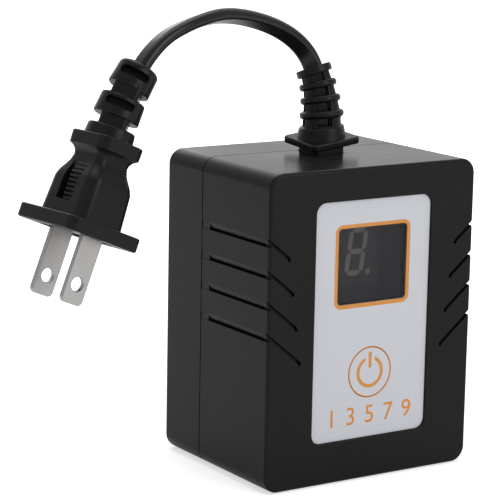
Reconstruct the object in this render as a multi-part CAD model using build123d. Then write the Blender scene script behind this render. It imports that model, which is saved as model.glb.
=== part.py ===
from build123d import *
import math
import os

# Plug-in timer switch: a two-shell housing with a one-digit display and one key on its white
# panel, a short flat cord out of the top to a two-blade plug, and a two-pole outlet in the back.
# Millimetres. Origin: middle of the underside of the housing. +Z up, the panel faces -Y.

# Housing
HOUSING_WIDTH = 64.0
HOUSING_DEPTH = 50.0
HOUSING_HEIGHT = 82.0
CORNER_RADIUS = 4.0
WALL = 2.0
FRONT_WALL = 2.6
REAR_WALL = 2.4
FRONT_EDGE = 0.7
REAR_EDGE = 1.0
REAR_SHELL_DEPTH = 18.0
SEAM_GAP = 0.3
LIP_DEPTH = 2.0
LIP_THICKNESS = 0.9
FIT = 0.15  # clearance on each side of a piece that drops into place

# Louvres on both sides, each running round onto the front as a thin slanting slit
VENT_COUNT = 4
VENT_PITCH = 8.0
VENT_TOP_Z = 64.6
VENT_HEIGHT = 1.9
VENT_DEPTH = 1.0
VENT_SLOPE_RISE = 0.9  # rise of the sloping side beyond the wall's face
VENT_SLIT = 0.6
VENT_SLIT_INSET = 3.5  # how far the open slit stops short of the seam
FRONT_SLIT_ANGLE = 41.0
FRONT_SLIT_REACH = 5.9
FRONT_SLIT_STEP = 1.25  # each lower slit reaches this much further in
FRONT_SLIT_WIDTH = 0.65
FRONT_SLIT_DEPTH = 1.2
FRONT_SLIT_TICK = 1.3

# White panel film in its recess
PANEL_WIDTH = 36.0
PANEL_HEIGHT = 62.6
PANEL_Z = 42.3
PANEL_RADIUS = 2.75
PANEL_SINK = 0.6  # the film's face lies this far behind the housing's
FILM_THICKNESS = 0.5
WINDOW_WIDTH = 21.4
WINDOW_HEIGHT = 19.7
WINDOW_Z = 56.6
WINDOW_RADIUS = 0.6
WINDOW_FLANGE = 0.9
WINDOW_FLANGE_THICKNESS = 0.8
SHROUD_WALL = 1.2

# Key: a disc of film, a plunger behind it and the switch's stem
KEY_RADIUS = 6.7
KEY_GAP = 0.15
KEY_Z = 28.2
KEY_TRAVEL = 0.35
KEY_STOP_GAP = 0.05
KEY_POCKET_DEPTH = 1.6
KEY_GUIDE_RADIUS = 8.0
KEY_GUIDE_LENGTH = 3.0
PLUNGER_HEAD_RADIUS = 6.0
PLUNGER_RADIUS = 3.0
PLUNGER_RUNNING_GAP = 0.1
STEM_RADIUS = 1.75
STEM_LENGTH = 2.0
STEM_HIDDEN = 1.0
SWITCH_SIZE = 6.0
SWITCH_HEIGHT = 3.5
SWITCH_EDGE = 0.4
SWITCH_LEG_SPACING = 5.0

# Board and display
BOARD_WIDTH = 44.0
BOARD_HEIGHT = 66.0
BOARD_THICKNESS = 1.6
BOARD_Z = 41.0
DISPLAY_SINK = 8.0  # face of the digit behind the housing's front face
DISPLAY_WIDTH = 12.7
DISPLAY_HEIGHT = 19.0
DISPLAY_DEPTH = 8.0
DISPLAY_X = 0.6
DISPLAY_Z = 58.6
DIGIT_HEIGHT = 12.7
DIGIT_WIDTH = 6.9
DIGIT_SHIFT = 0.5  # the digit stands this far left of the module's middle, for the point
DIGIT_SLANT = 8.0
SEGMENT_WIDTH = 1.45
SEGMENT_GAP = 0.3
SEGMENT_DEPTH = 0.5
POINT_RADIUS = 0.8
PIN_SIZE = 0.5
PIN_PITCH = 2.54
PIN_ROW = 15.24
PIN_PROUD = 1.4
PIN_HOLE = 0.9

# Components on the back of the board, as width, height off the board and length along Z
COMPONENT_EDGE = 0.4
LEFT_COLUMN_X = -13.5
RIGHT_COLUMN_X = 12.0
FILM_CAPACITOR = (8.0, 13.0, 18.0)
FILM_CAPACITOR_Z = 55.0
SMOOTHING_RADIUS = 4.0
SMOOTHING_HEIGHT = 12.0
VARISTOR_RADIUS = 4.0
VARISTOR_THICKNESS = 3.0
VARISTOR_Z = 69.0
FUSE_RADIUS = 1.8
FUSE_LENGTH = 8.0
FUSE_Z = 65.0
RECTIFIER = (8.5, 3.4, 6.5)
RECTIFIER_Z = 39.0
CHIP = (6.5, 3.4, 19.0)
CHIP_X = -12.0
CHIP_Z = 21.0
CHIP_PINS = 7
CHIP_PIN_WIDTH = 1.2
CRYSTAL = (4.6, 11.0, 3.5)
CRYSTAL_X = -3.5
CRYSTAL_Z = 37.0
RESISTORS = 3
RESISTOR_RADIUS = 1.2
RESISTOR_LENGTH = 6.3
RESISTOR_PITCH = 3.6
RESISTOR_X = 10.0
RESISTOR_Z = 37.0
WIRE_SIZE = 0.6
WIRE_REACH = 1.8

# Screws and the bosses that they go into
SHELL_SCREW_X = 26.2
SHELL_SCREW_Z = 6.8  # from the underside and from the top
BOSS_RADIUS = 3.2
SCREW_RADIUS = 1.3
SCREW_HEAD_RADIUS = 2.5
SCREW_HEAD_HEIGHT = 1.8
SCREW_SIDES = 12  # flats of a plain screw and of its hole
SHELL_SCREW_LENGTH = 14.0
SHELL_SCREW_SINK = 7.0  # head seat below the back face
BOARD_SCREW_X = 19.0
BOARD_SCREW_INSET_Z = 4.0
BOARD_SCREW_LENGTH = 7.0
BOARD_BOSS_RADIUS = 2.8
HOLE_CLEARANCE = 0.2

# Relay on the back of the board, its armature swinging toward the core's end
RELAY_X = 11.0
RELAY_Z = 24.5
RELAY_WIDTH = 15.5
RELAY_LENGTH = 19.0
RELAY_HEIGHT = 15.3
RELAY_WALL = 0.8
RELAY_EDGE = 0.6
RELAY_BASE_THICKNESS = 2.0
RELAY_YOKE_WIDTH = 10.0
RELAY_YOKE_THICKNESS = 1.2
RELAY_CORE_RADIUS = 1.8
RELAY_COIL_RADIUS = 3.9
RELAY_BOBBIN_FLANGE = 8.4
RELAY_BOBBIN_WALL = 0.6
RELAY_POLE_RADIUS = 3.0
RELAY_POLE_THICKNESS = 0.8
RELAY_AIR_GAP = 0.6
RELAY_ARMATURE_HEIGHT = 8.2
RELAY_BLADE_THICKNESS = 0.3
RELAY_BLADE_WIDTH = 4.4
RELAY_BLADE_START = 2.0  # above the relay's floor
RELAY_BLADE_TIP = 1.4  # past the contact
RELAY_FIT = 0.1
RELAY_COIL_GAP = 0.2
RELAY_LEG_FROM_MIDDLE = 8.0
RELAY_LEG_PAST_COIL = 4.0
RELAY_BOBBIN_END = 3.0  # from the relay's middle
RELAY_YOKE_SHORT = 0.3
RELAY_ARMATURE_NARROW = 1.0
RELAY_ARMATURE_LIFT = 0.2
RELAY_ARMATURE_EDGE = 0.5
RELAY_CONTACT_ABOVE_FLOOR = 10.6
RELAY_ARM_THICKNESS = 0.5
RELAY_ARM_REACH = 1.4
RELAY_ARM_HEIGHTS = (-0.9, 1.2)
RELAY_POST_WIDTH = 1.0
RELAY_POST_OUT = 1.5
RELAY_CONTACT_RADIUS = 1.2
RELAY_CONTACT_HEIGHT = 0.6
RELAY_CONTACT_GAP = 0.75

# Outlet in the back: flat slots, a sliding shutter and two spring contacts in a carrier
OUTLET_Z = 44.0
POLE_SPACING = 12.7
SLOT_WIDTH = 2.2
SLOT_HEIGHT = 7.2
OUTLET_FACE_WIDTH = 30.0
OUTLET_FACE_HEIGHT = 24.0
OUTLET_FACE_RADIUS = 4.0
OUTLET_FACE_SINK = 0.6
SHUTTER_TRAVEL = 3.2
SHUTTER_THICKNESS = 1.8
SHUTTER_HEIGHT = 11.0
SHUTTER_WINDOW_MARGIN = 0.2
SHUTTER_LEFT = 13.0
SHUTTER_RIGHT = 10.0
SHUTTER_GAP = 0.2
SHUTTER_EDGE = 0.8
SHUTTER_RAIL = 1.2
SPRING_ROOM = 6.5
SPRING_RADIUS = 0.7
SPRING_WIRE = 0.14
SPRING_TURNS = 5
SPRING_TURN_SIDES = 8
SPRING_LEFT_X = -7.0
SPRING_POST = 1.0
SPRING_CLEARANCE = 0.3
CARRIER_WIDTH = 27.0
CARRIER_HEIGHT = 16.0
CARRIER_DEPTH = 11.0
CARRIER_EAR_WIDTH = 42.0
CARRIER_EAR_HEIGHT = 8.0
CARRIER_EAR_THICKNESS = 3.0
CARRIER_EAR_EDGE = 2.0
CARRIER_SCREW_X = 17.6
CARRIER_SCREW_LENGTH = 6.0
CONTACT_GAP = 1.3
CONTACT_SHEET = 0.5
CONTACT_SINK = 0.3  # below the carrier's rear face
CONTACT_HEIGHT = 7.0
CONTACT_LENGTH = 9.0
CONTACT_TAB_LENGTH = 5.0
CONTACT_TAB_WIDTH = 3.0

# Cord, its grommet in the top and the arch that it makes over to the plug
CORD_WIDTH = 5.2
CORD_THICKNESS = 3.4
CORD_FOOT_LENGTH = 4.0  # sheath that shows below the grommet's lock
CORD_END_SIDES = 4  # flats round each narrow side of the cord
CORE_RADIUS = 0.95  # one insulated core
CORE_SIDES = 6
CORE_GAP = 0.05  # from the middle between the two cores
LEAD_RUN = 3.0
LEAD_BEND = 1.5
LEAD_IN_SPACING = 11.0
LEAD_IN_Z = 68.0
LEAD_OUT_SPACING = 9.0
LEAD_OUT_Z = 48.0
ARCH_BEARING = 6.5  # the arch's plane turned this far from the housing's width
GROMMET_X = 1.1
GROMMET_NECK = 9.0
GROMMET_NECK_RADIUS = 1.0
GROMMET_SEAM_GAP = 0.2
GROMMET_TOP_Z = 86.2  # middle of the flange's upper face
GROMMET_FLANGE = 13.4
GROMMET_FLANGE_THICKNESS = 1.9
GROMMET_FLANGE_RADIUS = 1.2
GROMMET_FLANGE_EDGE = 0.45
GROMMET_FLANGE_TURN = 4.0
GROMMET_TILT_SIDE = 7.0
GROMMET_TILT_FRONT = 4.3
GROMMET_LOCK = 12.0
GROMMET_LOCK_THICKNESS = 1.8
GROMMET_BORE = 3.0
GROMMET_BORE_SIDES = 8
GROMMET_BORE_RUNS = 3  # straight runs along the bend
GROMMET_RINGS = 5
GROMMET_RING_PITCH = 3.95
GROMMET_RING_START = 2.2  # middle of the first ring above the flange
GROMMET_RING_THICKNESS = 2.0
GROMMET_RING_RADIUS = 6.0
GROMMET_RING_SHRINK = 0.34
GROMMET_CORE_RADIUS = 5.2
GROMMET_STRUT_WIDTH = 4.2
GROMMET_STRUT_INSET = 0.8  # the struts stay this far inside the next ring's rim
GROMMET_RING_TILT = 4.0
GROMMET_RING_SIDES = 24
GROMMET_STRAIGHT = 3.0
GROMMET_BEND_RADIUS = 34.0
GROMMET_LENGTH = 19.2

# Route of the free cord, chosen by eye: it leaves the grommet and the plug straight, and its
# other points are a reach from the grommet's axis and a height
CORD_FIRST_RUN = 6.6
CORD_LAST_RUN = 7.5
CORD_ROUTE = [(11.5, 114.8), (21.9, 118.9), (44.0, 118.9)]

# Plug, in its own frame: x across the blades, y across a blade's width, z toward the cord
PLUG_REACH = 77.8
PLUG_HEIGHT = 67.9
PLUG_LEAN = 22.6
PLUG_LENGTH = 43.9
BLADE_WIDTH = 6.3
BLADE_THICKNESS = 1.5
BLADE_LENGTH = 16.5
BLADE_TIP_RADIUS = 2.5
BLADE_HOLE_RADIUS = 1.8
BLADE_HOLE_INSET = 5.0
BLADE_ROOT = 5.0
PLUG_FLANGE_WIDTH = 24.3
PLUG_FLANGE_DEPTH = 21.9
PLUG_FLANGE_THICKNESS = 3.6
PLUG_FLANGE_RADIUS = 2.5
PLUG_FLANGE_EDGE = 0.4
PLUG_FACE_MARGIN = 4.2
PLUG_FACE_SINK = 0.4
PLUG_FACE_RADIUS = 1.5
PLUG_INSERT_DEPTH = 5.6
PLUG_INSERT_FIT = 0.02
PLUG_BODY_CORNER = 3.0
PLUG_STATIONS = (
    # height above the blade-side face, width and depth
    (PLUG_FLANGE_THICKNESS, 18.4, 14.6),
    (12.6, 17.4, 13.8),
    (15.0, 15.4, 12.0),
    (17.2, 12.9, 10.3),
    (18.6, 12.2, 9.8),
    (20.0, 12.8, 10.4),
    (21.2, 15.8, 13.2),
    (24.5, 15.8, 13.2),
)
PLUG_BEND_START = 26.0
PLUG_BEND_RADIUS = 68.0
RELIEF_BLOCKS = (
    # start and end above the blade-side face, and radius
    (24.0, 27.4, 6.1),
    (29.7, 35.1, 5.7),
    (37.4, PLUG_LENGTH, 5.3),
)
RELIEF_NECK_WIDTH = 8.0
RELIEF_NECK_THICKNESS = 6.8
RELIEF_TURN = -40.0
RELIEF_SLOTS = (32.9, 40.9)
RELIEF_SLOT_HEIGHT = 1.7
RELIEF_SLOT_HALF_WIDTH = 3.7
RELIEF_WEB = 1.6
GRIP_START = 8.3
GRIP_END = 17.3
GRIP_WIDTH = 6.0
GRIP_DEPTH = 1.1
GRIP_RIBS = 9
GRIP_RIB = 0.45

# Places that follow from the sizes above
FRONT_Y = -HOUSING_DEPTH / 2
REAR_Y = HOUSING_DEPTH / 2
SEAM_Y = REAR_Y - REAR_SHELL_DEPTH
SIDE_X = HOUSING_WIDTH / 2
FRONT_INSIDE_Y = FRONT_Y + FRONT_WALL
REAR_INSIDE_Y = REAR_Y - REAR_WALL
FILM_FRONT_Y = FRONT_Y + PANEL_SINK
FILM_BACK_Y = FILM_FRONT_Y + FILM_THICKNESS
DISPLAY_FACE_Y = FRONT_Y + DISPLAY_SINK
BOARD_FRONT_Y = DISPLAY_FACE_Y + DISPLAY_DEPTH
BOARD_BACK_Y = BOARD_FRONT_Y + BOARD_THICKNESS
SWITCH_FACE_Y = BOARD_FRONT_Y - SWITCH_HEIGHT
STEM_FACE_Y = SWITCH_FACE_Y - STEM_LENGTH
GROMMET_Y = SEAM_Y - GROMMET_NECK / 2 - GROMMET_SEAM_GAP
RELAY_FLOOR_Y = BOARD_BACK_Y + RELAY_BASE_THICKNESS
RELAY_INNER_LENGTH = RELAY_LENGTH - 2 * RELAY_WALL
YOKE_TOP_Y = RELAY_FLOOR_Y + RELAY_YOKE_THICKNESS
COIL_Y = YOKE_TOP_Y + RELAY_COIL_GAP + RELAY_BOBBIN_FLANGE / 2
LEG_Z = RELAY_Z - RELAY_LEG_FROM_MIDDLE
BOBBIN_START_Z = LEG_Z + RELAY_YOKE_THICKNESS
BOBBIN_END_Z = RELAY_Z + RELAY_BOBBIN_END
POLE_FACE_Z = BOBBIN_END_Z + RELAY_POLE_THICKNESS
ARMATURE_Z = POLE_FACE_Z + RELAY_AIR_GAP
CONTACT_Y = RELAY_FLOOR_Y + RELAY_CONTACT_ABOVE_FLOOR
MOVING_CONTACT_Z = ARMATURE_Z + RELAY_YOKE_THICKNESS - RELAY_CONTACT_HEIGHT
FIXED_CONTACT_Z = MOVING_CONTACT_Z - RELAY_CONTACT_GAP
SHUTTER_REAR_Y = REAR_INSIDE_Y - SHUTTER_GAP
SHUTTER_FRONT_Y = SHUTTER_REAR_Y - SHUTTER_THICKNESS
SPRING_POST_X = SPRING_LEFT_X + SPRING_ROOM
CARRIER_REAR_Y = SHUTTER_FRONT_Y - SHUTTER_GAP
CARRIER_FRONT_Y = CARRIER_REAR_Y - CARRIER_DEPTH
EAR_FRONT_Y = CARRIER_REAR_Y - CARRIER_EAR_THICKNESS
HOUSING_MIDDLE_Z = HOUSING_HEIGHT / 2
SHELL_SCREW_SEAT_Y = REAR_Y - SHELL_SCREW_SINK
SHELL_SCREW_TIP_Y = SHELL_SCREW_SEAT_Y - SHELL_SCREW_LENGTH
GROMMET_LOCK_TOP_Z = HOUSING_HEIGHT - WALL - FIT
CORD_FOOT_Z = GROMMET_LOCK_TOP_Z - GROMMET_LOCK_THICKNESS - CORD_FOOT_LENGTH
ARCH_ANGLE = math.radians(ARCH_BEARING)
OUTWARD = Vector(-math.cos(ARCH_ANGLE), -math.sin(ARCH_ANGLE), 0)
UP = Vector(0, 0, 1)
ACROSS = UP.cross(OUTWARD)
MARGIN = 1.0  # how far a cutting tool overshoots the face that it goes through

os.makedirs("parts", exist_ok=True)


def prism_y(sketch, y_from, y_to):
    """Extrude a sketch, drawn with X right and Z up, between two depths."""
    plane = Plane(origin=(0, y_to, 0), x_dir=(1, 0, 0), z_dir=(0, -1, 0))
    return extrude(plane * sketch, amount=y_to - y_from, dir=plane.z_dir)


def rod_y(radius, y_from, y_to, x=0.0, z=0.0):
    """Round bar along Y."""
    return prism_y(Pos(x, z) * Circle(radius), y_from, y_to)


def screw_bar(radius, y_from, y_to, x, z):
    """Bar with flats along Y, for a screw or for the hole that it goes into."""
    return prism_y(Pos(x, z) * RegularPolygon(radius, SCREW_SIDES), y_from, y_to)


def rounded_y(width, height, radius, y_from, y_to, x=0.0, z=0.0):
    """Rounded rectangular bar along Y, centred at x and z."""
    return prism_y(Pos(x, z) * RectangleRounded(width, height, radius), y_from, y_to)


def block(x_from, x_to, y_from, y_to, z_from, z_to):
    """Box between two corners."""
    size = (x_to - x_from, y_to - y_from, z_to - z_from)
    return Pos(x_from, y_from, z_from) * Box(*size, align=(Align.MIN, Align.MIN, Align.MIN))


def end_edges(shape, end):
    """Edges of the face that lies lowest (0) or highest (-1) along Y."""
    return shape.faces().sort_by(Axis.Y)[end].edges()


def joined(shapes):
    """Fuse a list of solids that touch or overlap."""
    first, *others = shapes
    return first.fuse(*others).clean() if others else first


def grouped(shapes):
    """Keep separate solids together in one node."""
    return Compound(children=list(shapes))


def all_corners(half_x, half_z, middle_z=0.0):
    """The four places mirrored about x = 0 and a middle height."""
    return [(sx * half_x, middle_z + sz * half_z) for sx in (-1, 1) for sz in (-1, 1)]


SHELL_SCREWS = all_corners(SHELL_SCREW_X, HOUSING_MIDDLE_Z - SHELL_SCREW_Z, HOUSING_MIDDLE_Z)
BOARD_CORNERS = all_corners(BOARD_SCREW_X, BOARD_HEIGHT / 2 - BOARD_SCREW_INSET_Z, BOARD_Z)
BOARD_SCREWS = [BOARD_CORNERS[0], BOARD_CORNERS[3]]  # opposite corners
VENT_HEIGHTS = [VENT_TOP_Z - i * VENT_PITCH for i in range(VENT_COUNT)]


# Housing shells

def housing_outline(inset=0.0):
    radius = max(CORNER_RADIUS - inset, 0.3)
    outline = RectangleRounded(HOUSING_WIDTH - 2 * inset, HOUSING_HEIGHT - 2 * inset, radius)
    return Pos(0, HOUSING_MIDDLE_Z) * outline


def louvre_cuts():
    """Grooves along both sides, each with an open slit at its lower edge."""
    cuts = []
    for z in VENT_HEIGHTS:
        low = z - VENT_HEIGHT / 2
        high = z + VENT_HEIGHT / 2
        for side in (-1, 1):
            outer = side * (SIDE_X + MARGIN)
            inner = side * (SIDE_X - VENT_DEPTH)
            corners = [(outer, high + VENT_SLOPE_RISE), (inner, low + VENT_SLIT), (inner, low), (outer, low)]
            cuts.append(prism_y(Polygon(*corners, align=None), FRONT_Y - MARGIN, SEAM_Y))
            slit = sorted((outer, side * (SIDE_X - WALL - MARGIN)))
            slit_end = SEAM_Y - VENT_SLIT_INSET
            cuts.append(block(*slit, FRONT_INSIDE_Y, slit_end, low, low + VENT_SLIT))
    return cuts


def front_slit_cuts():
    """Slits that carry each louvre on across the front, slanting down and in."""
    cuts = []
    slope = math.tan(math.radians(FRONT_SLIT_ANGLE))
    for row, z in enumerate(VENT_HEIGHTS):
        reach = FRONT_SLIT_REACH + row * FRONT_SLIT_STEP
        drop = reach * slope
        run = math.hypot(reach, drop) + MARGIN
        for side in (-1, 1):
            end = (side * (SIDE_X - reach), z - drop)
            angle = -side * FRONT_SLIT_ANGLE
            middle_x = end[0] + side * run / 2 * math.cos(math.radians(FRONT_SLIT_ANGLE))
            middle_z = end[1] + run / 2 * math.sin(math.radians(FRONT_SLIT_ANGLE))
            slant = Pos(middle_x, middle_z) * Rot(0, 0, -angle) * Rectangle(run, FRONT_SLIT_WIDTH)
            tick_z = end[1] - FRONT_SLIT_TICK / 2 + FRONT_SLIT_WIDTH / 2
            tick = Pos(end[0], tick_z) * Rectangle(FRONT_SLIT_WIDTH, FRONT_SLIT_TICK)
            for piece in (slant, tick):
                cuts.append(prism_y(piece, FRONT_Y - MARGIN, FRONT_Y + FRONT_SLIT_DEPTH))
    return cuts


def make_front_shell():
    end_y = SEAM_Y - SEAM_GAP / 2
    shell = prism_y(housing_outline(), FRONT_Y, end_y)
    shell = chamfer(end_edges(shell, 0), FRONT_EDGE)
    shell -= prism_y(housing_outline(WALL), FRONT_INSIDE_Y, end_y + MARGIN)
    # a rebate round the mouth takes the rear shell's lip
    rebate = housing_outline(WALL - LIP_THICKNESS - FIT)
    shell -= prism_y(rebate, end_y - LIP_DEPTH - FIT, end_y + MARGIN)

    root_y = FRONT_INSIDE_Y - MARGIN / 2
    guide_y = FRONT_INSIDE_Y + KEY_GUIDE_LENGTH
    posts = [rod_y(KEY_GUIDE_RADIUS, root_y, guide_y, 0, KEY_Z)]
    posts += [rod_y(BOSS_RADIUS, root_y, end_y, x, z) for x, z in SHELL_SCREWS]
    posts += [rod_y(BOARD_BOSS_RADIUS, root_y, BOARD_FRONT_Y, x, z) for x, z in BOARD_SCREWS]
    shroud_width = WINDOW_WIDTH + 2 * WINDOW_FLANGE + 2 * FIT
    shroud_height = WINDOW_HEIGHT + 2 * WINDOW_FLANGE + 2 * FIT
    shroud_end = DISPLAY_FACE_Y - 2 * FIT
    shroud = Rectangle(shroud_width + 2 * SHROUD_WALL, shroud_height + 2 * SHROUD_WALL)
    shroud -= Rectangle(shroud_width, shroud_height)
    shroud = prism_y(Pos(0, WINDOW_Z) * shroud, root_y, shroud_end)
    shell = joined([shell, *posts, shroud])

    cuts = louvre_cuts() + front_slit_cuts()
    seat_width = PANEL_WIDTH + 2 * FIT
    seat_height = PANEL_HEIGHT + 2 * FIT
    seat_radius = PANEL_RADIUS + FIT
    cuts.append(rounded_y(seat_width, seat_height, seat_radius, FRONT_Y - MARGIN, FILM_BACK_Y, 0, PANEL_Z))
    flange_seat = Pos(0, WINDOW_Z) * Rectangle(shroud_width, shroud_height)
    cuts.append(prism_y(flange_seat, FILM_BACK_Y - MARGIN, FILM_BACK_Y + WINDOW_FLANGE_THICKNESS))
    window_end = FRONT_INSIDE_Y + MARGIN
    cuts.append(rounded_y(WINDOW_WIDTH, WINDOW_HEIGHT, WINDOW_RADIUS, FILM_BACK_Y, window_end, 0, WINDOW_Z))
    pocket_end = FILM_BACK_Y + KEY_POCKET_DEPTH
    cuts.append(rod_y(KEY_RADIUS, FILM_BACK_Y - MARGIN / 2, pocket_end, 0, KEY_Z))
    bore_radius = PLUNGER_RADIUS + PLUNGER_RUNNING_GAP
    cuts.append(rod_y(bore_radius, pocket_end - MARGIN / 2, guide_y + MARGIN, 0, KEY_Z))
    for x, z in SHELL_SCREWS:
        cuts.append(screw_bar(SCREW_RADIUS, SHELL_SCREW_TIP_Y - MARGIN, end_y + MARGIN, x, z))
    for x, z in BOARD_SCREWS:
        tip = BOARD_BACK_Y - BOARD_SCREW_LENGTH
        cuts.append(screw_bar(SCREW_RADIUS, tip - MARGIN, BOARD_FRONT_Y + MARGIN, x, z))
    half = GROMMET_NECK / 2 + FIT
    cuts.append(
        block(
            GROMMET_X - half, GROMMET_X + half, GROMMET_Y - half, end_y + MARGIN,
            HOUSING_HEIGHT - WALL - MARGIN, HOUSING_HEIGHT + MARGIN
        )
    )
    for cut in cuts:
        shell -= cut
    return shell


def make_rear_shell():
    start_y = SEAM_Y + SEAM_GAP / 2
    shell = prism_y(housing_outline(), start_y, REAR_Y)
    shell = chamfer(end_edges(shell, -1), REAR_EDGE)
    shell -= prism_y(housing_outline(WALL), start_y - MARGIN, REAR_INSIDE_Y)
    lip_inset = WALL - LIP_THICKNESS
    lip = prism_y(housing_outline(lip_inset), start_y - SEAM_GAP - LIP_DEPTH + FIT, start_y + MARGIN)
    before_y = start_y - 2 * LIP_DEPTH
    lip -= prism_y(housing_outline(WALL), before_y, start_y + 2 * MARGIN)
    left = GROMMET_X - GROMMET_NECK / 2 - FIT
    right = GROMMET_X + GROMMET_NECK / 2 + FIT
    lip -= block(left, right, before_y, start_y, HOUSING_HEIGHT - 2 * WALL, HOUSING_HEIGHT)
    for x, z in SHELL_SCREWS:
        lip -= rod_y(BOSS_RADIUS + FIT, before_y, start_y, x, z)
    shell = joined([shell, lip])

    root_y = REAR_INSIDE_Y + MARGIN / 2
    posts = [rod_y(BOSS_RADIUS, start_y, root_y, x, z) for x, z in SHELL_SCREWS]
    rail = SHUTTER_HEIGHT / 2 + SHUTTER_GAP
    for side in (-1, 1):
        posts.append(rod_y(BOARD_BOSS_RADIUS, CARRIER_REAR_Y, root_y, side * CARRIER_SCREW_X, OUTLET_Z))
        low, high = sorted((OUTLET_Z + side * rail, OUTLET_Z + side * (rail + SHUTTER_RAIL)))
        posts.append(block(-SHUTTER_LEFT, SHUTTER_LEFT, CARRIER_REAR_Y, root_y, low, high))
    low = OUTLET_Z - SPRING_RADIUS
    high = OUTLET_Z + SPRING_RADIUS
    posts.append(block(SPRING_POST_X, SPRING_POST_X + SPRING_POST, SHUTTER_FRONT_Y, root_y, low, high))
    shell = joined([shell, *posts])

    face_y = REAR_Y - OUTLET_FACE_SINK
    face = RectangleRounded(OUTLET_FACE_WIDTH, OUTLET_FACE_HEIGHT, OUTLET_FACE_RADIUS)
    cuts = [prism_y(Pos(0, OUTLET_Z) * face, face_y, REAR_Y + MARGIN)]
    for side in (-1, 1):
        x = side * POLE_SPACING / 2
        slot = Pos(x, OUTLET_Z) * Rectangle(SLOT_WIDTH, SLOT_HEIGHT)
        cuts.append(prism_y(slot, REAR_INSIDE_Y - MARGIN, REAR_Y + MARGIN))
        bore_end = EAR_FRONT_Y + CARRIER_SCREW_LENGTH + HOLE_CLEARANCE
        screw_x = side * CARRIER_SCREW_X
        cuts.append(screw_bar(SCREW_RADIUS, CARRIER_REAR_Y - MARGIN, bore_end, screw_x, OUTLET_Z))
    seat_y = SHELL_SCREW_SEAT_Y
    for x, z in SHELL_SCREWS:
        cuts.append(screw_bar(SCREW_RADIUS + HOLE_CLEARANCE, start_y - MARGIN, seat_y + MARGIN, x, z))
        cuts.append(rod_y(SCREW_HEAD_RADIUS + HOLE_CLEARANCE, seat_y, REAR_Y + MARGIN, x, z))
    for cut in cuts:
        shell -= cut
    return shell


def screw_y(length, seat_y, x, z, head_side=1):
    """Plain screw along Y whose head lies on the head_side of its seat."""
    tip_y = seat_y - head_side * length
    outer_y = seat_y + head_side * SCREW_HEAD_HEIGHT
    shank = screw_bar(SCREW_RADIUS, *sorted((seat_y, tip_y)), x, z)
    head = screw_bar(SCREW_HEAD_RADIUS, *sorted((seat_y, outer_y)), x, z)
    return joined([shank, head])


def make_housing_screws():
    return grouped(screw_y(SHELL_SCREW_LENGTH, SHELL_SCREW_SEAT_Y, x, z) for x, z in SHELL_SCREWS)


# Panel, window and key

def make_panel_film():
    film = rounded_y(PANEL_WIDTH, PANEL_HEIGHT, PANEL_RADIUS, FILM_FRONT_Y, FILM_BACK_Y, 0, PANEL_Z)
    opening = RectangleRounded(WINDOW_WIDTH + 2 * FIT, WINDOW_HEIGHT + 2 * FIT, WINDOW_RADIUS + FIT)
    film -= prism_y(Pos(0, WINDOW_Z) * opening, FRONT_Y, FILM_BACK_Y + MARGIN)
    film -= rod_y(KEY_RADIUS, FRONT_Y, FILM_BACK_Y + MARGIN, 0, KEY_Z)
    return film


def make_display_window():
    face = rounded_y(WINDOW_WIDTH, WINDOW_HEIGHT, WINDOW_RADIUS, FILM_FRONT_Y, FILM_BACK_Y, 0, WINDOW_Z)
    outline = Rectangle(WINDOW_WIDTH + 2 * WINDOW_FLANGE, WINDOW_HEIGHT + 2 * WINDOW_FLANGE)
    flange = prism_y(Pos(0, WINDOW_Z) * outline, FILM_BACK_Y, FILM_BACK_Y + WINDOW_FLANGE_THICKNESS)
    return joined([face, flange])


def make_key_pad():
    return rod_y(KEY_RADIUS - KEY_GAP, FILM_FRONT_Y, FILM_BACK_Y, 0, KEY_Z)


def make_key_plunger():
    head_end = FILM_BACK_Y + KEY_POCKET_DEPTH - KEY_TRAVEL - KEY_STOP_GAP
    head = rod_y(PLUNGER_HEAD_RADIUS, FILM_BACK_Y, head_end, 0, KEY_Z)
    shank = rod_y(PLUNGER_RADIUS, FILM_BACK_Y, STEM_FACE_Y, 0, KEY_Z)
    return joined([head, shank])


def make_switch_stem():
    return rod_y(STEM_RADIUS, STEM_FACE_Y, SWITCH_FACE_Y + STEM_HIDDEN, 0, KEY_Z)


def make_key_switch():
    half = SWITCH_SIZE / 2
    base = block(-half, half, SWITCH_FACE_Y, BOARD_FRONT_Y, KEY_Z - half, KEY_Z + half)
    base = chamfer(base.edges().filter_by(Axis.Y), SWITCH_EDGE)
    bore_end = SWITCH_FACE_Y + STEM_HIDDEN + KEY_TRAVEL + KEY_STOP_GAP
    base -= rod_y(STEM_RADIUS + PLUNGER_RUNNING_GAP, SWITCH_FACE_Y - MARGIN, bore_end, 0, KEY_Z)
    legs = []
    leg = PIN_SIZE / 2
    start_y = BOARD_FRONT_Y - MARGIN / 2
    for x, z in all_corners(SWITCH_LEG_SPACING / 2, SWITCH_LEG_SPACING / 2, KEY_Z):
        legs.append(block(x - leg, x + leg, start_y, BOARD_BACK_Y + PIN_PROUD, z - leg, z + leg))
    return joined([base, *legs])


# Board and display

def make_main_board():
    board = prism_y(Pos(0, BOARD_Z) * Rectangle(BOARD_WIDTH, BOARD_HEIGHT), BOARD_FRONT_Y, BOARD_BACK_Y)
    before_y = BOARD_FRONT_Y - MARGIN
    after_y = BOARD_BACK_Y + MARGIN
    for x, z in BOARD_SCREWS:
        board -= screw_bar(SCREW_RADIUS + HOLE_CLEARANCE, before_y, after_y, x, z)
    pads = all_corners(SWITCH_LEG_SPACING / 2, SWITCH_LEG_SPACING / 2, KEY_Z) + display_pin_places()
    holes = Sketch() + [Pos(x, z) * Rectangle(PIN_HOLE, PIN_HOLE) for x, z in pads]
    return board - prism_y(holes, before_y, after_y)


def make_board_screws():
    return grouped(screw_y(BOARD_SCREW_LENGTH, BOARD_BACK_Y, x, z) for x, z in BOARD_SCREWS)


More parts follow.
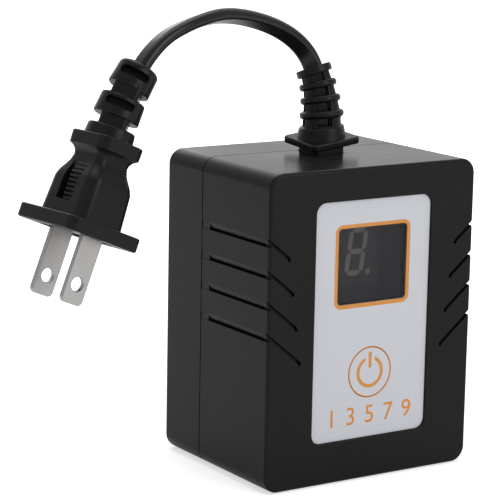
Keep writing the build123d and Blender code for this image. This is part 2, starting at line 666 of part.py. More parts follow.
def display_pin_places():
    places = []
    for row in (-1, 1):
        for i in range(5):
            places.append((DISPLAY_X + (i - 2) * PIN_PITCH, DISPLAY_Z + row * PIN_ROW / 2))
    return places


def bar_outline(length, turned):
    """Corners of one bar of the digit, a long hexagon that lies flat or stands turned."""
    half = length / 2
    tip = SEGMENT_WIDTH / 2
    shoulder = half - tip
    corners = [(-half, 0), (-shoulder, tip), (shoulder, tip), (half, 0), (shoulder, -tip), (-shoulder, -tip)]
    return [(-b, a) for a, b in corners] if turned else corners


def digit_spans():
    """Distance between the upright bars, and between the flat ones."""
    lean = DIGIT_HEIGHT / 2 * math.tan(math.radians(DIGIT_SLANT))
    return DIGIT_WIDTH - SEGMENT_WIDTH - lean, (DIGIT_HEIGHT - SEGMENT_WIDTH) / 2


def digit_bars():
    """The seven bars, upright, about the digit's own middle: x, z, turned and length."""
    span_x, span_z = digit_spans()
    bars = [(0, level * span_z, False, span_x - SEGMENT_GAP) for level in (-1, 0, 1)]
    for side in (-1, 1):
        for level in (-0.5, 0.5):
            bars.append((side * span_x / 2, level * span_z, True, span_z - SEGMENT_GAP))
    return bars


def point_place():
    span_x, span_z = digit_spans()
    return span_x / 2 + SEGMENT_WIDTH + POINT_RADIUS, -span_z


def slanted(x, z):
    """Lean a point of the digit to the right, as italic type leans."""
    return x + z * math.tan(math.radians(DIGIT_SLANT)), z


def placed_digit():
    place = Pos(DISPLAY_X - DIGIT_SHIFT, DISPLAY_Z)
    digit = []
    for x, z, turned, length in digit_bars():
        outline = [slanted(x + a, z + b) for a, b in bar_outline(length, turned)]
        digit.append(place * Polygon(*outline, align=None))
    digit.append(place * Pos(*slanted(*point_place())) * Circle(POINT_RADIUS))
    return digit


def make_display_module():
    outline = Pos(DISPLAY_X, DISPLAY_Z) * Rectangle(DISPLAY_WIDTH, DISPLAY_HEIGHT)
    module = prism_y(outline, DISPLAY_FACE_Y, BOARD_FRONT_Y)
    for sketch in placed_digit():
        module -= prism_y(sketch, DISPLAY_FACE_Y - MARGIN, DISPLAY_FACE_Y + SEGMENT_DEPTH)
    return module


def make_display_segments():
    return grouped(prism_y(s, DISPLAY_FACE_Y, DISPLAY_FACE_Y + SEGMENT_DEPTH) for s in placed_digit())


def make_display_pins():
    half = PIN_SIZE / 2
    pins = []
    for x, z in display_pin_places():
        pins.append(block(x - half, x + half, BOARD_FRONT_Y, BOARD_BACK_Y + PIN_PROUD, z - half, z + half))
    return grouped(pins)


# Relay

def rod_z(radius, z_from, z_to, x, y):
    return Pos(x, y, z_from) * Cylinder(radius, z_to - z_from, align=(Align.CENTER, Align.CENTER, Align.MIN))


def relay_box(half_width, y_from, y_to, z_from, z_to):
    return block(RELAY_X - half_width, RELAY_X + half_width, y_from, y_to, z_from, z_to)


def make_relay_base():
    half = RELAY_WIDTH / 2 - RELAY_WALL - RELAY_FIT
    half_length = RELAY_INNER_LENGTH / 2 - RELAY_FIT
    return relay_box(half, BOARD_BACK_Y, RELAY_FLOOR_Y, RELAY_Z - half_length, RELAY_Z + half_length)


def make_relay_cover():
    half = RELAY_WIDTH / 2
    top = BOARD_BACK_Y + RELAY_HEIGHT
    cover = relay_box(half, BOARD_BACK_Y, top, RELAY_Z - RELAY_LENGTH / 2, RELAY_Z + RELAY_LENGTH / 2)
    cover = chamfer(cover.edges().filter_by(Axis.Y), RELAY_EDGE)
    inner = RELAY_INNER_LENGTH / 2
    cover -= relay_box(
        half - RELAY_WALL, BOARD_BACK_Y - MARGIN, top - RELAY_WALL, RELAY_Z - inner, RELAY_Z + inner
    )
    return cover


def make_relay_yoke():
    half = RELAY_YOKE_WIDTH / 2
    floor = relay_box(half, RELAY_FLOOR_Y, YOKE_TOP_Y, LEG_Z, ARMATURE_Z - RELAY_YOKE_SHORT)
    leg = relay_box(half, RELAY_FLOOR_Y, COIL_Y + RELAY_LEG_PAST_COIL, LEG_Z, BOBBIN_START_Z)
    hole = rod_z(RELAY_CORE_RADIUS, LEG_Z - MARGIN, BOBBIN_START_Z + MARGIN, RELAY_X, COIL_Y)
    return joined([floor, leg]) - hole


def make_relay_core():
    core = rod_z(RELAY_CORE_RADIUS, LEG_Z, POLE_FACE_Z, RELAY_X, COIL_Y)
    pole = rod_z(RELAY_POLE_RADIUS, BOBBIN_END_Z, POLE_FACE_Z, RELAY_X, COIL_Y)
    return joined([core, pole])


def make_relay_bobbin():
    half = RELAY_BOBBIN_FLANGE / 2
    barrel = rod_z(RELAY_CORE_RADIUS + RELAY_BOBBIN_WALL, BOBBIN_START_Z, BOBBIN_END_Z, RELAY_X, COIL_Y)
    ends = []
    for z in (BOBBIN_START_Z, BOBBIN_END_Z - RELAY_BOBBIN_WALL):
        ends.append(relay_box(half, COIL_Y - half, COIL_Y + half, z, z + RELAY_BOBBIN_WALL))
    bore = rod_z(RELAY_CORE_RADIUS, BOBBIN_START_Z - MARGIN, BOBBIN_END_Z + MARGIN, RELAY_X, COIL_Y)
    return joined([barrel, *ends]) - bore


def make_relay_winding():
    start = BOBBIN_START_Z + RELAY_BOBBIN_WALL
    end = BOBBIN_END_Z - RELAY_BOBBIN_WALL
    winding = rod_z(RELAY_COIL_RADIUS, start, end, RELAY_X, COIL_Y)
    return winding - rod_z(RELAY_CORE_RADIUS + RELAY_BOBBIN_WALL, start, end, RELAY_X, COIL_Y)


def make_relay_armature():
    half = (RELAY_YOKE_WIDTH - RELAY_ARMATURE_NARROW) / 2
    low = RELAY_FLOOR_Y + RELAY_ARMATURE_LIFT
    plate = relay_box(half, low, low + RELAY_ARMATURE_HEIGHT, ARMATURE_Z, ARMATURE_Z + RELAY_YOKE_THICKNESS)
    return chamfer(plate.edges().filter_by(Axis.Z), RELAY_ARMATURE_EDGE)


def make_relay_moving_blade():
    outer = ARMATURE_Z + RELAY_YOKE_THICKNESS
    start = RELAY_FLOOR_Y + RELAY_BLADE_START
    tip = CONTACT_Y + RELAY_BLADE_TIP
    strip = relay_box(RELAY_BLADE_WIDTH / 2, start, tip, outer, outer + RELAY_BLADE_THICKNESS)
    rivet = rod_z(RELAY_CONTACT_RADIUS, MOVING_CONTACT_Z, outer, RELAY_X, CONTACT_Y)
    return joined([strip, rivet])


def make_relay_fixed_contact():
    end = FIXED_CONTACT_Z - RELAY_CONTACT_HEIGHT
    start = end - RELAY_ARM_THICKNESS
    edge = RELAY_X - RELAY_YOKE_WIDTH / 2 - RELAY_POST_OUT
    low, high = (CONTACT_Y + height for height in RELAY_ARM_HEIGHTS)
    post = block(edge, edge + RELAY_POST_WIDTH, RELAY_FLOOR_Y, high, start, end)
    arm = block(edge, RELAY_X + RELAY_ARM_REACH, low, high, start, end)
    rivet = rod_z(RELAY_CONTACT_RADIUS, end, FIXED_CONTACT_Z, RELAY_X, CONTACT_Y)
    return joined([post, arm, rivet])


# Other components on the back of the board

def board_brick(width, height, length, x, z):
    top = BOARD_BACK_Y + height
    brick = block(x - width / 2, x + width / 2, BOARD_BACK_Y, top, z - length / 2, z + length / 2)
    return chamfer(end_edges(brick, -1), COMPONENT_EDGE)


def lying_part(radius, length, x, z):
    """Round component lying along X with a square wire bent down at each end."""
    axis_y = BOARD_BACK_Y + radius
    half = WIRE_SIZE / 2
    reach = length / 2 + WIRE_REACH
    body = Pos(x, axis_y, z) * Rot(0, 90, 0) * Cylinder(radius, length)
    lead = block(x - reach, x + reach, axis_y - half, axis_y + half, z - half, z + half)
    legs = []
    for end in (x - reach, x + reach):
        legs.append(block(end - half, end + half, BOARD_BACK_Y, axis_y + half, z - half, z + half))
    return joined([body, lead, *legs])


def make_film_capacitor():
    return board_brick(*FILM_CAPACITOR, LEFT_COLUMN_X, FILM_CAPACITOR_Z)


def make_smoothing_capacitor():
    top = BOARD_BACK_Y + SMOOTHING_HEIGHT
    return rod_y(SMOOTHING_RADIUS, BOARD_BACK_Y, top, RIGHT_COLUMN_X, FILM_CAPACITOR_Z)


def make_varistor():
    disc = Cylinder(VARISTOR_RADIUS, VARISTOR_THICKNESS)
    return Pos(LEFT_COLUMN_X, BOARD_BACK_Y + VARISTOR_RADIUS, VARISTOR_Z) * disc


def make_fuse():
    return lying_part(FUSE_RADIUS, FUSE_LENGTH, RIGHT_COLUMN_X, FUSE_Z)


def make_rectifier():
    return board_brick(*RECTIFIER, LEFT_COLUMN_X, RECTIFIER_Z)


def make_microcontroller():
    width, height, length = CHIP
    body = board_brick(width, height, length, CHIP_X, CHIP_Z)
    pins = []
    for side in (-1, 1):
        x = CHIP_X + side * (width / 2 + CHIP_PIN_WIDTH / 2)
        for i in range(CHIP_PINS):
            z = CHIP_Z + (i - (CHIP_PINS - 1) / 2) * PIN_PITCH
            half_x = CHIP_PIN_WIDTH / 2 + FIT
            half_z = CHIP_PIN_WIDTH / 4
            top = BOARD_BACK_Y + height / 2
            pins.append(block(x - half_x, x + half_x, BOARD_BACK_Y, top, z - half_z, z + half_z))
    return joined([body, *pins])


def make_crystal():
    width, length, height = CRYSTAL
    corner = width / 2 - COMPONENT_EDGE / 4
    return rounded_y(width, length, corner, BOARD_BACK_Y, BOARD_BACK_Y + height, CRYSTAL_X, CRYSTAL_Z)


def make_resistors():
    resistors = []
    for i in range(RESISTORS):
        z = RESISTOR_Z + i * RESISTOR_PITCH
        resistors.append(lying_part(RESISTOR_RADIUS, RESISTOR_LENGTH, RESISTOR_X, z))
    return grouped(resistors)


# Outlet

def make_shutter():
    y_from, y_to = SHUTTER_FRONT_Y, SHUTTER_REAR_Y
    half = SHUTTER_HEIGHT / 2
    plate = block(-SHUTTER_LEFT, SHUTTER_RIGHT, y_from, y_to, OUTLET_Z - half, OUTLET_Z + half)
    plate = chamfer(plate.edges().filter_by(Axis.Y), SHUTTER_EDGE)
    margin = SHUTTER_WINDOW_MARGIN
    for side in (-1, 1):
        x = side * POLE_SPACING / 2 - SHUTTER_TRAVEL
        window = Pos(x, OUTLET_Z) * Rectangle(SLOT_WIDTH + 2 * margin, SLOT_HEIGHT + 2 * margin)
        plate -= prism_y(window, y_from - MARGIN, y_to + MARGIN)
    room = SPRING_RADIUS + SPRING_WIRE + SPRING_CLEARANCE
    right = SPRING_POST_X + SPRING_POST + FIT
    plate -= block(SPRING_LEFT_X, right, y_from - MARGIN, y_to + MARGIN, OUTLET_Z - room, OUTLET_Z + room)
    return plate


def make_shutter_spring():
    """Coil between the shutter's cut-out and the post, each turn a run of short flats."""
    middle_y = (SHUTTER_FRONT_Y + SHUTTER_REAR_Y) / 2
    length = SPRING_ROOM - 2 * SPRING_WIRE
    radius = SPRING_RADIUS - SPRING_WIRE
    steps = SPRING_TURNS * SPRING_TURN_SIDES
    points = []
    for i in range(steps + 1):
        angle = 2 * math.pi * i / SPRING_TURN_SIDES
        points.append((length * i / steps, radius * math.cos(angle), radius * math.sin(angle)))
    path = Polyline(*points)
    section = Plane(origin=points[0], z_dir=path % 0) * Rectangle(2 * SPRING_WIRE, 2 * SPRING_WIRE)
    wire = sweep(section, path=path, transition=Transition.RIGHT)
    return Pos(SPRING_LEFT_X + SPRING_WIRE, middle_y, OUTLET_Z) * wire


def make_contact_carrier():
    half = CARRIER_WIDTH / 2
    tall = CARRIER_HEIGHT / 2
    carrier = block(-half, half, CARRIER_FRONT_Y, CARRIER_REAR_Y, OUTLET_Z - tall, OUTLET_Z + tall)
    ear_half = CARRIER_EAR_WIDTH / 2
    ear_tall = CARRIER_EAR_HEIGHT / 2
    ears = block(-ear_half, ear_half, EAR_FRONT_Y, CARRIER_REAR_Y, OUTLET_Z - ear_tall, OUTLET_Z + ear_tall)
    ears = chamfer(ears.edges().filter_by(Axis.Y), CARRIER_EAR_EDGE)
    carrier = joined([carrier, ears])
    pocket = Rectangle(CONTACT_GAP + 2 * CONTACT_SHEET + 2 * FIT, CONTACT_HEIGHT + 2 * FIT)
    tab_way = Rectangle(CONTACT_SHEET + 2 * FIT, CONTACT_TAB_WIDTH + 2 * FIT)
    floor = CARRIER_REAR_Y - CONTACT_LENGTH - FIT
    end = CARRIER_REAR_Y + MARGIN
    hole_radius = SCREW_RADIUS + HOLE_CLEARANCE
    for side in (-1, 1):
        place = Pos(side * POLE_SPACING / 2, OUTLET_Z)
        carrier -= prism_y(place * pocket, floor, end)
        carrier -= prism_y(place * tab_way, CARRIER_FRONT_Y - MARGIN, floor + MARGIN)
        carrier -= screw_bar(hole_radius, EAR_FRONT_Y - MARGIN, end, side * CARRIER_SCREW_X, OUTLET_Z)
    return carrier


def make_contact(side):
    """Sheet-metal fork that grips a blade, with a tab through the carrier's floor."""
    x = side * POLE_SPACING / 2
    outer = CONTACT_GAP / 2 + CONTACT_SHEET
    end_y = CARRIER_REAR_Y - CONTACT_SINK
    floor_y = CARRIER_REAR_Y - CONTACT_LENGTH
    half = CONTACT_HEIGHT / 2
    fork = block(x - outer, x + outer, floor_y, end_y, OUTLET_Z - half, OUTLET_Z + half)
    fork -= block(
        x - CONTACT_GAP / 2, x + CONTACT_GAP / 2, floor_y + CONTACT_SHEET, end_y + MARGIN,
        OUTLET_Z - half - MARGIN, OUTLET_Z + half + MARGIN
    )
    tab = block(
        x - CONTACT_SHEET / 2, x + CONTACT_SHEET / 2, CARRIER_FRONT_Y - CONTACT_TAB_LENGTH, floor_y,
        OUTLET_Z - CONTACT_TAB_WIDTH / 2, OUTLET_Z + CONTACT_TAB_WIDTH / 2
    )
    return joined([fork, tab])


def make_carrier_screws():
    screws = []
    for side in (-1, 1):
        x = side * CARRIER_SCREW_X
        screws.append(screw_y(CARRIER_SCREW_LENGTH, EAR_FRONT_Y, x, OUTLET_Z, head_side=-1))
    return grouped(screws)


# Cord: everything along the arch lies in one upright plane through the grommet's axis

def arch_point(reach, height):
    return Vector(GROMMET_X, GROMMET_Y, 0) + OUTWARD * reach + UP * height


def arch_plane(reach, height, lean):
    """Plane across the arch whose normal leans outward from upright by lean degrees."""
    angle = math.radians(lean)
    normal = UP * math.cos(angle) + OUTWARD * math.sin(angle)
    return Plane(origin=arch_point(reach, height), x_dir=ACROSS, z_dir=normal)


def grommet_station(along):
    """Plane across the grommet's axis at a length above its flange: upright, then a steady bend."""
    if along <= GROMMET_STRAIGHT:
        return arch_plane(0, GROMMET_TOP_Z + along, 0)
    turn = (along - GROMMET_STRAIGHT) / GROMMET_BEND_RADIUS
    reach = GROMMET_BEND_RADIUS * (1 - math.cos(turn))
    height = GROMMET_TOP_Z + GROMMET_STRAIGHT + GROMMET_BEND_RADIUS * math.sin(turn)
    return arch_plane(reach, height, math.degrees(turn))


def grommet_axis_wire(along_from, along_to):
    start = grommet_station(along_from).origin
    bend = grommet_station(GROMMET_STRAIGHT).origin
    middle = grommet_station((GROMMET_STRAIGHT + along_to) / 2).origin
    end = grommet_station(along_to).origin
    return Wire([Line(start, bend).edge(), ThreePointArc(bend, middle, end).edge()])


def ring_radius(index):
    return GROMMET_RING_RADIUS - index * GROMMET_RING_SHRINK


def grommet_ring(index):
    """Collar that leans a little further than the axis does."""
    station = grommet_station(GROMMET_RING_START + index * GROMMET_RING_PITCH)
    outline = RegularPolygon(ring_radius(index), GROMMET_RING_SIDES)
    ring = extrude(outline, GROMMET_RING_THICKNESS / 2, both=True)
    return station.location * Rot(GROMMET_RING_TILT, 0, 0) * ring


def grommet_struts(index):
    """Four webs between ring index and the next one, with windows onto the cord between them."""
    station = grommet_station(GROMMET_RING_START + (index + 0.5) * GROMMET_RING_PITCH)
    reach = ring_radius(index + 1) - GROMMET_STRUT_INSET
    web = Box(2 * reach, GROMMET_STRUT_WIDTH, GROMMET_RING_PITCH)
    return [station.location * Rot(0, 0, turn) * web for turn in (45, 135)]


def make_cord_grommet():
    top = Location((GROMMET_X, GROMMET_Y, GROMMET_TOP_Z))
    tilt = Rot(GROMMET_TILT_FRONT, -GROMMET_TILT_SIDE, GROMMET_FLANGE_TURN)
    flange = extrude(
        RectangleRounded(GROMMET_FLANGE, GROMMET_FLANGE, GROMMET_FLANGE_RADIUS), -GROMMET_FLANGE_THICKNESS
    )
    flange = chamfer(flange.faces().sort_by(Axis.Z)[-1].edges(), GROMMET_FLANGE_EDGE)
    neck_outline = RectangleRounded(GROMMET_NECK, GROMMET_NECK, GROMMET_NECK_RADIUS)
    lock_outline = RectangleRounded(GROMMET_LOCK, GROMMET_LOCK, GROMMET_NECK_RADIUS)
    neck_height = GROMMET_TOP_Z - GROMMET_FLANGE_THICKNESS / 2 - GROMMET_LOCK_TOP_Z
    place = Pos(GROMMET_X, GROMMET_Y, GROMMET_LOCK_TOP_Z)
    neck = place * extrude(neck_outline, neck_height)
    lock = place * extrude(lock_outline, -GROMMET_LOCK_THICKNESS)
    foot_top = GROMMET_TOP_Z + GROMMET_RING_START
    foot = rod_z(GROMMET_CORE_RADIUS, GROMMET_TOP_Z - MARGIN, foot_top, GROMMET_X, GROMMET_Y)
    pieces = [neck, lock, foot]
    pieces += [grommet_ring(i) for i in range(GROMMET_RINGS)]
    for i in range(GROMMET_RINGS - 1):
        pieces += grommet_struts(i)
    grommet = joined([top * tilt * flange, *pieces])
    # the bore is cut last, in straight runs from below the lock to beyond the last ring
    bore_start = GROMMET_LOCK_TOP_Z - GROMMET_LOCK_THICKNESS - MARGIN - GROMMET_TOP_Z
    bore_end = GROMMET_LENGTH + GROMMET_RING_THICKNESS
    run = (bore_end - GROMMET_STRAIGHT) / GROMMET_BORE_RUNS
    stops = [bore_start] + [GROMMET_STRAIGHT + i * run for i in range(GROMMET_BORE_RUNS + 1)]
    bore_path = Polyline(*[grommet_station(along).origin for along in stops])
    bore = grommet_station(bore_start) * RegularPolygon(GROMMET_BORE, GROMMET_BORE_SIDES)
    return grommet - sweep(bore, path=bore_path, transition=Transition.RIGHT)


def cord_section(plane):
    """Flat twin section, its wide way across the arch's plane, with faceted round ends."""
    radius = CORD_THICKNESS / 2
    middle = CORD_WIDTH / 2 - radius
    corners = []
    for side in (1, -1):
        for i in range(CORD_END_SIDES + 1):
            angle = math.pi * (i / CORD_END_SIDES - 0.5)
            corners.append((side * (middle + radius * math.cos(angle)), side * radius * math.sin(angle)))
    return plane * Polygon(*corners, align=None)


def make_cord_in_grommet():
    start = CORD_FOOT_Z - GROMMET_TOP_Z
    station = grommet_station(start)
    path = grommet_axis_wire(start, GROMMET_LENGTH)
    return sweep(cord_section(station), path=path)


def corner_radii(points):
    """The largest arc that two runs allow at each corner."""
    radii = []
    for before, corner, after in zip(points, points[1:], points[2:]):
        first = corner - before
        second = after - corner
        half_turn = math.radians(first.get_angle(second) / 2)
        radii.append(0.45 * min(first.length, second.length) / math.tan(half_turn))
    return radii


def free_cord_points():
    exit_plane = grommet_station(GROMMET_LENGTH)
    plug_plane = plug_station(PLUG_LENGTH)
    first_turn = exit_plane.origin + exit_plane.z_dir * CORD_FIRST_RUN
    last_turn = plug_plane.origin + plug_plane.z_dir * CORD_LAST_RUN
    middle = [arch_point(reach, height) for reach, height in CORD_ROUTE]
    return [exit_plane.origin, first_turn, *middle, last_turn, plug_plane.origin]


def make_power_cord():
    points = free_cord_points()
    radii = corner_radii(points)
    path = FilletPolyline(*points, radius=radii)
    direction = (points[1] - points[0]).normalized()
    section = cord_section(Plane(origin=points[0], x_dir=ACROSS, z_dir=direction))
    cord = sweep(section, path=path)
    print("cord radii", [round(r, 1) for r in radii], "length", round(path.length, 1))
    print("cord volume", round(cord.volume, 1), "section times length", round(section.area * path.length, 1))
    return cord


# Plug

def plug_station(along):
    """Plane across the plug at a height above its blade-side face: straight, then a steady bend."""
    lean = math.radians(PLUG_LEAN)
    straight = min(along, PLUG_BEND_START)
    reach = PLUG_REACH - straight * math.sin(lean)
    height = PLUG_HEIGHT + straight * math.cos(lean)
    turn = max(along - PLUG_BEND_START, 0) / PLUG_BEND_RADIUS
    reach -= PLUG_BEND_RADIUS * (math.cos(lean) - math.cos(lean + turn))
    height += PLUG_BEND_RADIUS * (math.sin(lean + turn) - math.sin(lean))
    angle = lean + turn
    normal = UP * math.cos(angle) - OUTWARD * math.sin(angle)
    return Plane(origin=arch_point(reach, height), x_dir=-ACROSS, z_dir=normal)


def plug_grip():
    """Grip, shoulder, waist and collar, through rounded rectangles."""
    outlines = []
    for z, width, depth in PLUG_STATIONS:
        outlines.append(Plane.XY.offset(z) * RectangleRounded(width, depth, PLUG_BODY_CORNER))
    return loft(outlines, ruled=True)


def plug_face(gap=0.0):
    """Outline of the hard face, or of the opening that it sits in."""
    margin = 2 * (PLUG_FACE_MARGIN + gap)
    return RectangleRounded(PLUG_FLANGE_WIDTH - margin, PLUG_FLANGE_DEPTH - margin, PLUG_FACE_RADIUS)


def make_plug_body():
    flange = extrude(
        RectangleRounded(PLUG_FLANGE_WIDTH, PLUG_FLANGE_DEPTH, PLUG_FLANGE_RADIUS), PLUG_FLANGE_THICKNESS
    )
    flange = chamfer(flange.faces().sort_by(Axis.Z)[-1].edges(), PLUG_FLANGE_EDGE)
    body = joined([flange, plug_grip()])
    body -= grip_recess(1)
    body -= grip_recess(-1)
    body -= extrude(plug_face(), PLUG_INSERT_DEPTH)
    return joined([plug_station(0).location * body, strain_relief()])


def grip_recess(side):
    """Scoop in one broad face with ribs standing across half of its floor."""
    middle = (GRIP_START + GRIP_END) / 2
    length = GRIP_END - GRIP_START
    face_y = (PLUG_STATIONS[0][2] + PLUG_STATIONS[1][2]) / 4
    floor_y = face_y - GRIP_DEPTH
    place = Pos(0, side * (floor_y + PLUG_FLANGE_DEPTH / 2), middle)
    pocket = place * Box(GRIP_WIDTH, PLUG_FLANGE_DEPTH, length)
    pitch = length / GRIP_RIBS
    for i in range(GRIP_RIBS):
        z = GRIP_START + (i + 0.5) * pitch
        pocket -= Pos(-GRIP_WIDTH / 4, side * floor_y, z) * Box(GRIP_WIDTH / 2, GRIP_DEPTH, GRIP_RIB)
    return pocket


def strain_relief():
    """Stepped tail that follows the bend: round blocks on flat necks, with slots across two blocks."""
    turn = Rot(0, 0, RELIEF_TURN)
    pieces = []
    for start, end, radius in RELIEF_BLOCKS:
        height = end - start
        pieces.append(plug_station(end).location * Pos(0, 0, -height / 2) * Cylinder(radius, height))
    for (_, start, _), (end, _, _) in zip(RELIEF_BLOCKS, RELIEF_BLOCKS[1:]):
        neck = Box(RELIEF_NECK_WIDTH, RELIEF_NECK_THICKNESS, end - start + MARGIN)
        pieces.append(plug_station((start + end) / 2).location * turn * neck)
    tail = joined(pieces)
    reach = 2 * RELIEF_NECK_WIDTH
    for along in RELIEF_SLOTS:
        for side in (-1, 1):
            slot = Box(reach, 2 * RELIEF_SLOT_HALF_WIDTH, RELIEF_SLOT_HEIGHT)
            middle = Pos(side * (RELIEF_WEB + reach / 2), 0, 0)
            tail -= plug_station(along).location * turn * middle * slot
    return tail


def make_plug_insert():
    """Hard face that holds the blades, set back a little in the flange."""
    outline = plug_face(PLUG_INSERT_FIT)
    insert = Pos(0, 0, PLUG_FACE_SINK) * extrude(outline, PLUG_INSERT_DEPTH - PLUG_FACE_SINK)
    for side in (-1, 1):
        slot = Pos(side * POLE_SPACING / 2, 0, 0) * Box(BLADE_THICKNESS, BLADE_WIDTH, 2 * BLADE_ROOT)
        insert -= slot
    return plug_station(0).location * insert


def make_plug_blade(side):
    length = BLADE_LENGTH + BLADE_ROOT
    blade = Pos(0, 0, BLADE_ROOT - length / 2) * Box(BLADE_THICKNESS, BLADE_WIDTH, length)
    tip_edges = blade.edges().filter_by(Axis.X).sort_by(Axis.Z)[:2]
    blade = fillet(tip_edges, BLADE_TIP_RADIUS)
    place = Pos(0, 0, BLADE_HOLE_INSET - BLADE_LENGTH) * Rot(0, 90, 0)
    hole = place * Cylinder(BLADE_HOLE_RADIUS, BLADE_WIDTH)
    return plug_station(0).location * Pos(side * POLE_SPACING / 2, 0, 0) * (blade - hole)


# Leads inside the housing: insulated cores from the cord to the board and on to the contacts

def insulated_core(points):
    path = FilletPolyline(*points, radius=LEAD_BEND)
    start = Plane(origin=points[0], z_dir=path % 0)
    return sweep(start * RegularPolygon(CORE_RADIUS, CORE_SIDES), path=path)


def make_cord_lead(side):
    """From the cord's foot down and forward to its pad on the board."""
    x_pad = side * LEAD_IN_SPACING / 2 + GROMMET_X
    x_cord = GROMMET_X + side * (CORE_RADIUS + CORE_GAP)
    return insulated_core(
        [
            (x_cord, GROMMET_Y, CORD_FOOT_Z),
            (x_cord, GROMMET_Y, CORD_FOOT_Z - LEAD_RUN),
            (x_pad, BOARD_BACK_Y + LEAD_RUN, LEAD_IN_Z),
            (x_pad, BOARD_BACK_Y, LEAD_IN_Z),
        ]
    )


def make_contact_lead(side):
    """From its pad straight back to the contact's tab."""
    x_pad = side * LEAD_OUT_SPACING / 2
    tab_y = CARRIER_FRONT_Y - CONTACT_TAB_LENGTH
    x_tab = side * POLE_SPACING / 2
    return insulated_core(
        [
            (x_pad, BOARD_BACK_Y, LEAD_OUT_Z),
            (x_pad, BOARD_BACK_Y + LEAD_RUN, LEAD_OUT_Z),
            (x_tab, tab_y - LEAD_RUN, OUTLET_Z),
            (x_tab, tab_y, OUTLET_Z),
        ]
    )


NODES = {
    "front_shell": make_front_shell,
    "rear_shell": make_rear_shell,
    "housing_screws": make_housing_screws,
    "panel_film": make_panel_film,
    "display_window": make_display_window,
    "key_pad": make_key_pad,
    "key_plunger": make_key_plunger,
    "switch_stem": make_switch_stem,
    "key_switch": make_key_switch,
    "main_board": make_main_board,
    "board_screws": make_board_screws,
    "display_module": make_display_module,
    "display_segments": make_display_segments,
    "display_pins": make_display_pins,
    "relay_base": make_relay_base,
    "relay_cover": make_relay_cover,
    "relay_yoke": make_relay_yoke,
    "relay_core": make_relay_core,
    "relay_bobbin": make_relay_bobbin,
    "relay_winding": make_relay_winding,
    "relay_armature": make_relay_armature,
    "relay_moving_blade": make_relay_moving_blade,
    "relay_fixed_contact": make_relay_fixed_contact,
    "film_capacitor": make_film_capacitor,
    "smoothing_capacitor": make_smoothing_capacitor,
    "varistor": make_varistor,
    "fuse": make_fuse,
    "rectifier": make_rectifier,
    "microcontroller": make_microcontroller,
    "crystal": make_crystal,
    "resistors": make_resistors,
    "shutter": make_shutter,
    "shutter_spring": make_shutter_spring,
    "contact_carrier": make_contact_carrier,
    "line_contact": lambda: make_contact(-1),
    "neutral_contact": lambda: make_contact(1),
    "carrier_screws": make_carrier_screws,
    "cord_grommet": make_cord_grommet,
    "cord_in_grommet": make_cord_in_grommet,
    "power_cord": make_power_cord,
    "plug_body": make_plug_body,
    "plug_insert": make_plug_insert,
    "plug_blade_line": lambda: make_plug_blade(-1),
    "plug_blade_neutral": lambda: make_plug_blade(1),
    "line_lead_in": lambda: make_cord_lead(-1),
    "neutral_lead_in": lambda: make_cord_lead(1),
    "line_lead_out": lambda: make_contact_lead(-1),
    "neutral_lead_out": lambda: make_contact_lead(1),
}

for name, make in NODES.items():
    export_step(make(), f"parts/{name}.step")
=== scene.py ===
import logging
import math
from collections.abc import Callable, Iterable
from dataclasses import dataclass
from enum import Enum, auto

import bpy
from mathutils import Matrix, Vector


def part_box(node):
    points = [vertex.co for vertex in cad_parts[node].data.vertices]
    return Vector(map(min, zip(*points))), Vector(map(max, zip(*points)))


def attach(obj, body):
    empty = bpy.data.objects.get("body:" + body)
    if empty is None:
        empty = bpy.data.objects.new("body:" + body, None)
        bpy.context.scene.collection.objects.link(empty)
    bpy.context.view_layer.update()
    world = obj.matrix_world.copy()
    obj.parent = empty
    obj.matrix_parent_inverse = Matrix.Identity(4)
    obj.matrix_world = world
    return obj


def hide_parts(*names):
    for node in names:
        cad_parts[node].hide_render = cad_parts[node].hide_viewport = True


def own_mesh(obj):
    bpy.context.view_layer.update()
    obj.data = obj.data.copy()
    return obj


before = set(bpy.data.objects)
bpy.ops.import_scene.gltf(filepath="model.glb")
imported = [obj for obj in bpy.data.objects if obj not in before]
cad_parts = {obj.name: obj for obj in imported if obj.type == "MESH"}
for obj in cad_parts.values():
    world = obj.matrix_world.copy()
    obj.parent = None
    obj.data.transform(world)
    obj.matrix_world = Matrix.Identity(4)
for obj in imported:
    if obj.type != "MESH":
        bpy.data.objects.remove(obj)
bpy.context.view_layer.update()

# Plug-in timer switch: a black two-shell housing with a white panel, a ringed grommet, a short
# flat cord and a two-blade plug. Sizes are in millimetres until a piece is finished in metres.

MM = 0.001
HOUSING = "housing"
SHELL_GAP = 0.3
FILM_CORNER = 2.75
PANE_CORNER = 1.5
CLOSE = 1e-3  # places nearer to each other than this are the same
OVER = 1  # how far a cutting tool reaches past what it cuts
SIDES = (-1, 1)
LOG = logging.getLogger("timer")

Corner = tuple[float, float, float]
Pair = tuple[float, float]


class Axis(Enum):
    """Direction that a bar, plate or edge runs along."""

    X = 0
    Y = 1
    Z = 2

    def lay(self) -> Matrix:
        """Turns a bar made along Z so that it lies along this axis.

        Returns:
            The turn.
        """
        if self is Axis.X:
            return turned(90, Axis.Y)
        if self is Axis.Y:
            return turned(-90, Axis.X)
        return Matrix.Identity(4)


class Pick(Enum):
    """What is picked in edit mode."""

    EDGE = auto()
    FACE = auto()


class Work(Enum):
    """What a tool does to a piece."""

    DIFFERENCE = auto()
    UNION = auto()


class Maths(Enum):
    """Operation on shader values."""

    ADD = auto()
    SUBTRACT = auto()
    MULTIPLY = auto()
    ABSOLUTE = auto()
    MAXIMUM = auto()
    SQRT = auto()


class Ramp(Enum):
    """How a value is led from one range to another."""

    LINEAR = auto()
    SMOOTHSTEP = auto()


def node_box(node: str) -> tuple[Vector, Vector]:
    """Gives the lowest and highest corner of a node of the frame, in millimetres."""
    low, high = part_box(node)
    return low / MM, high / MM


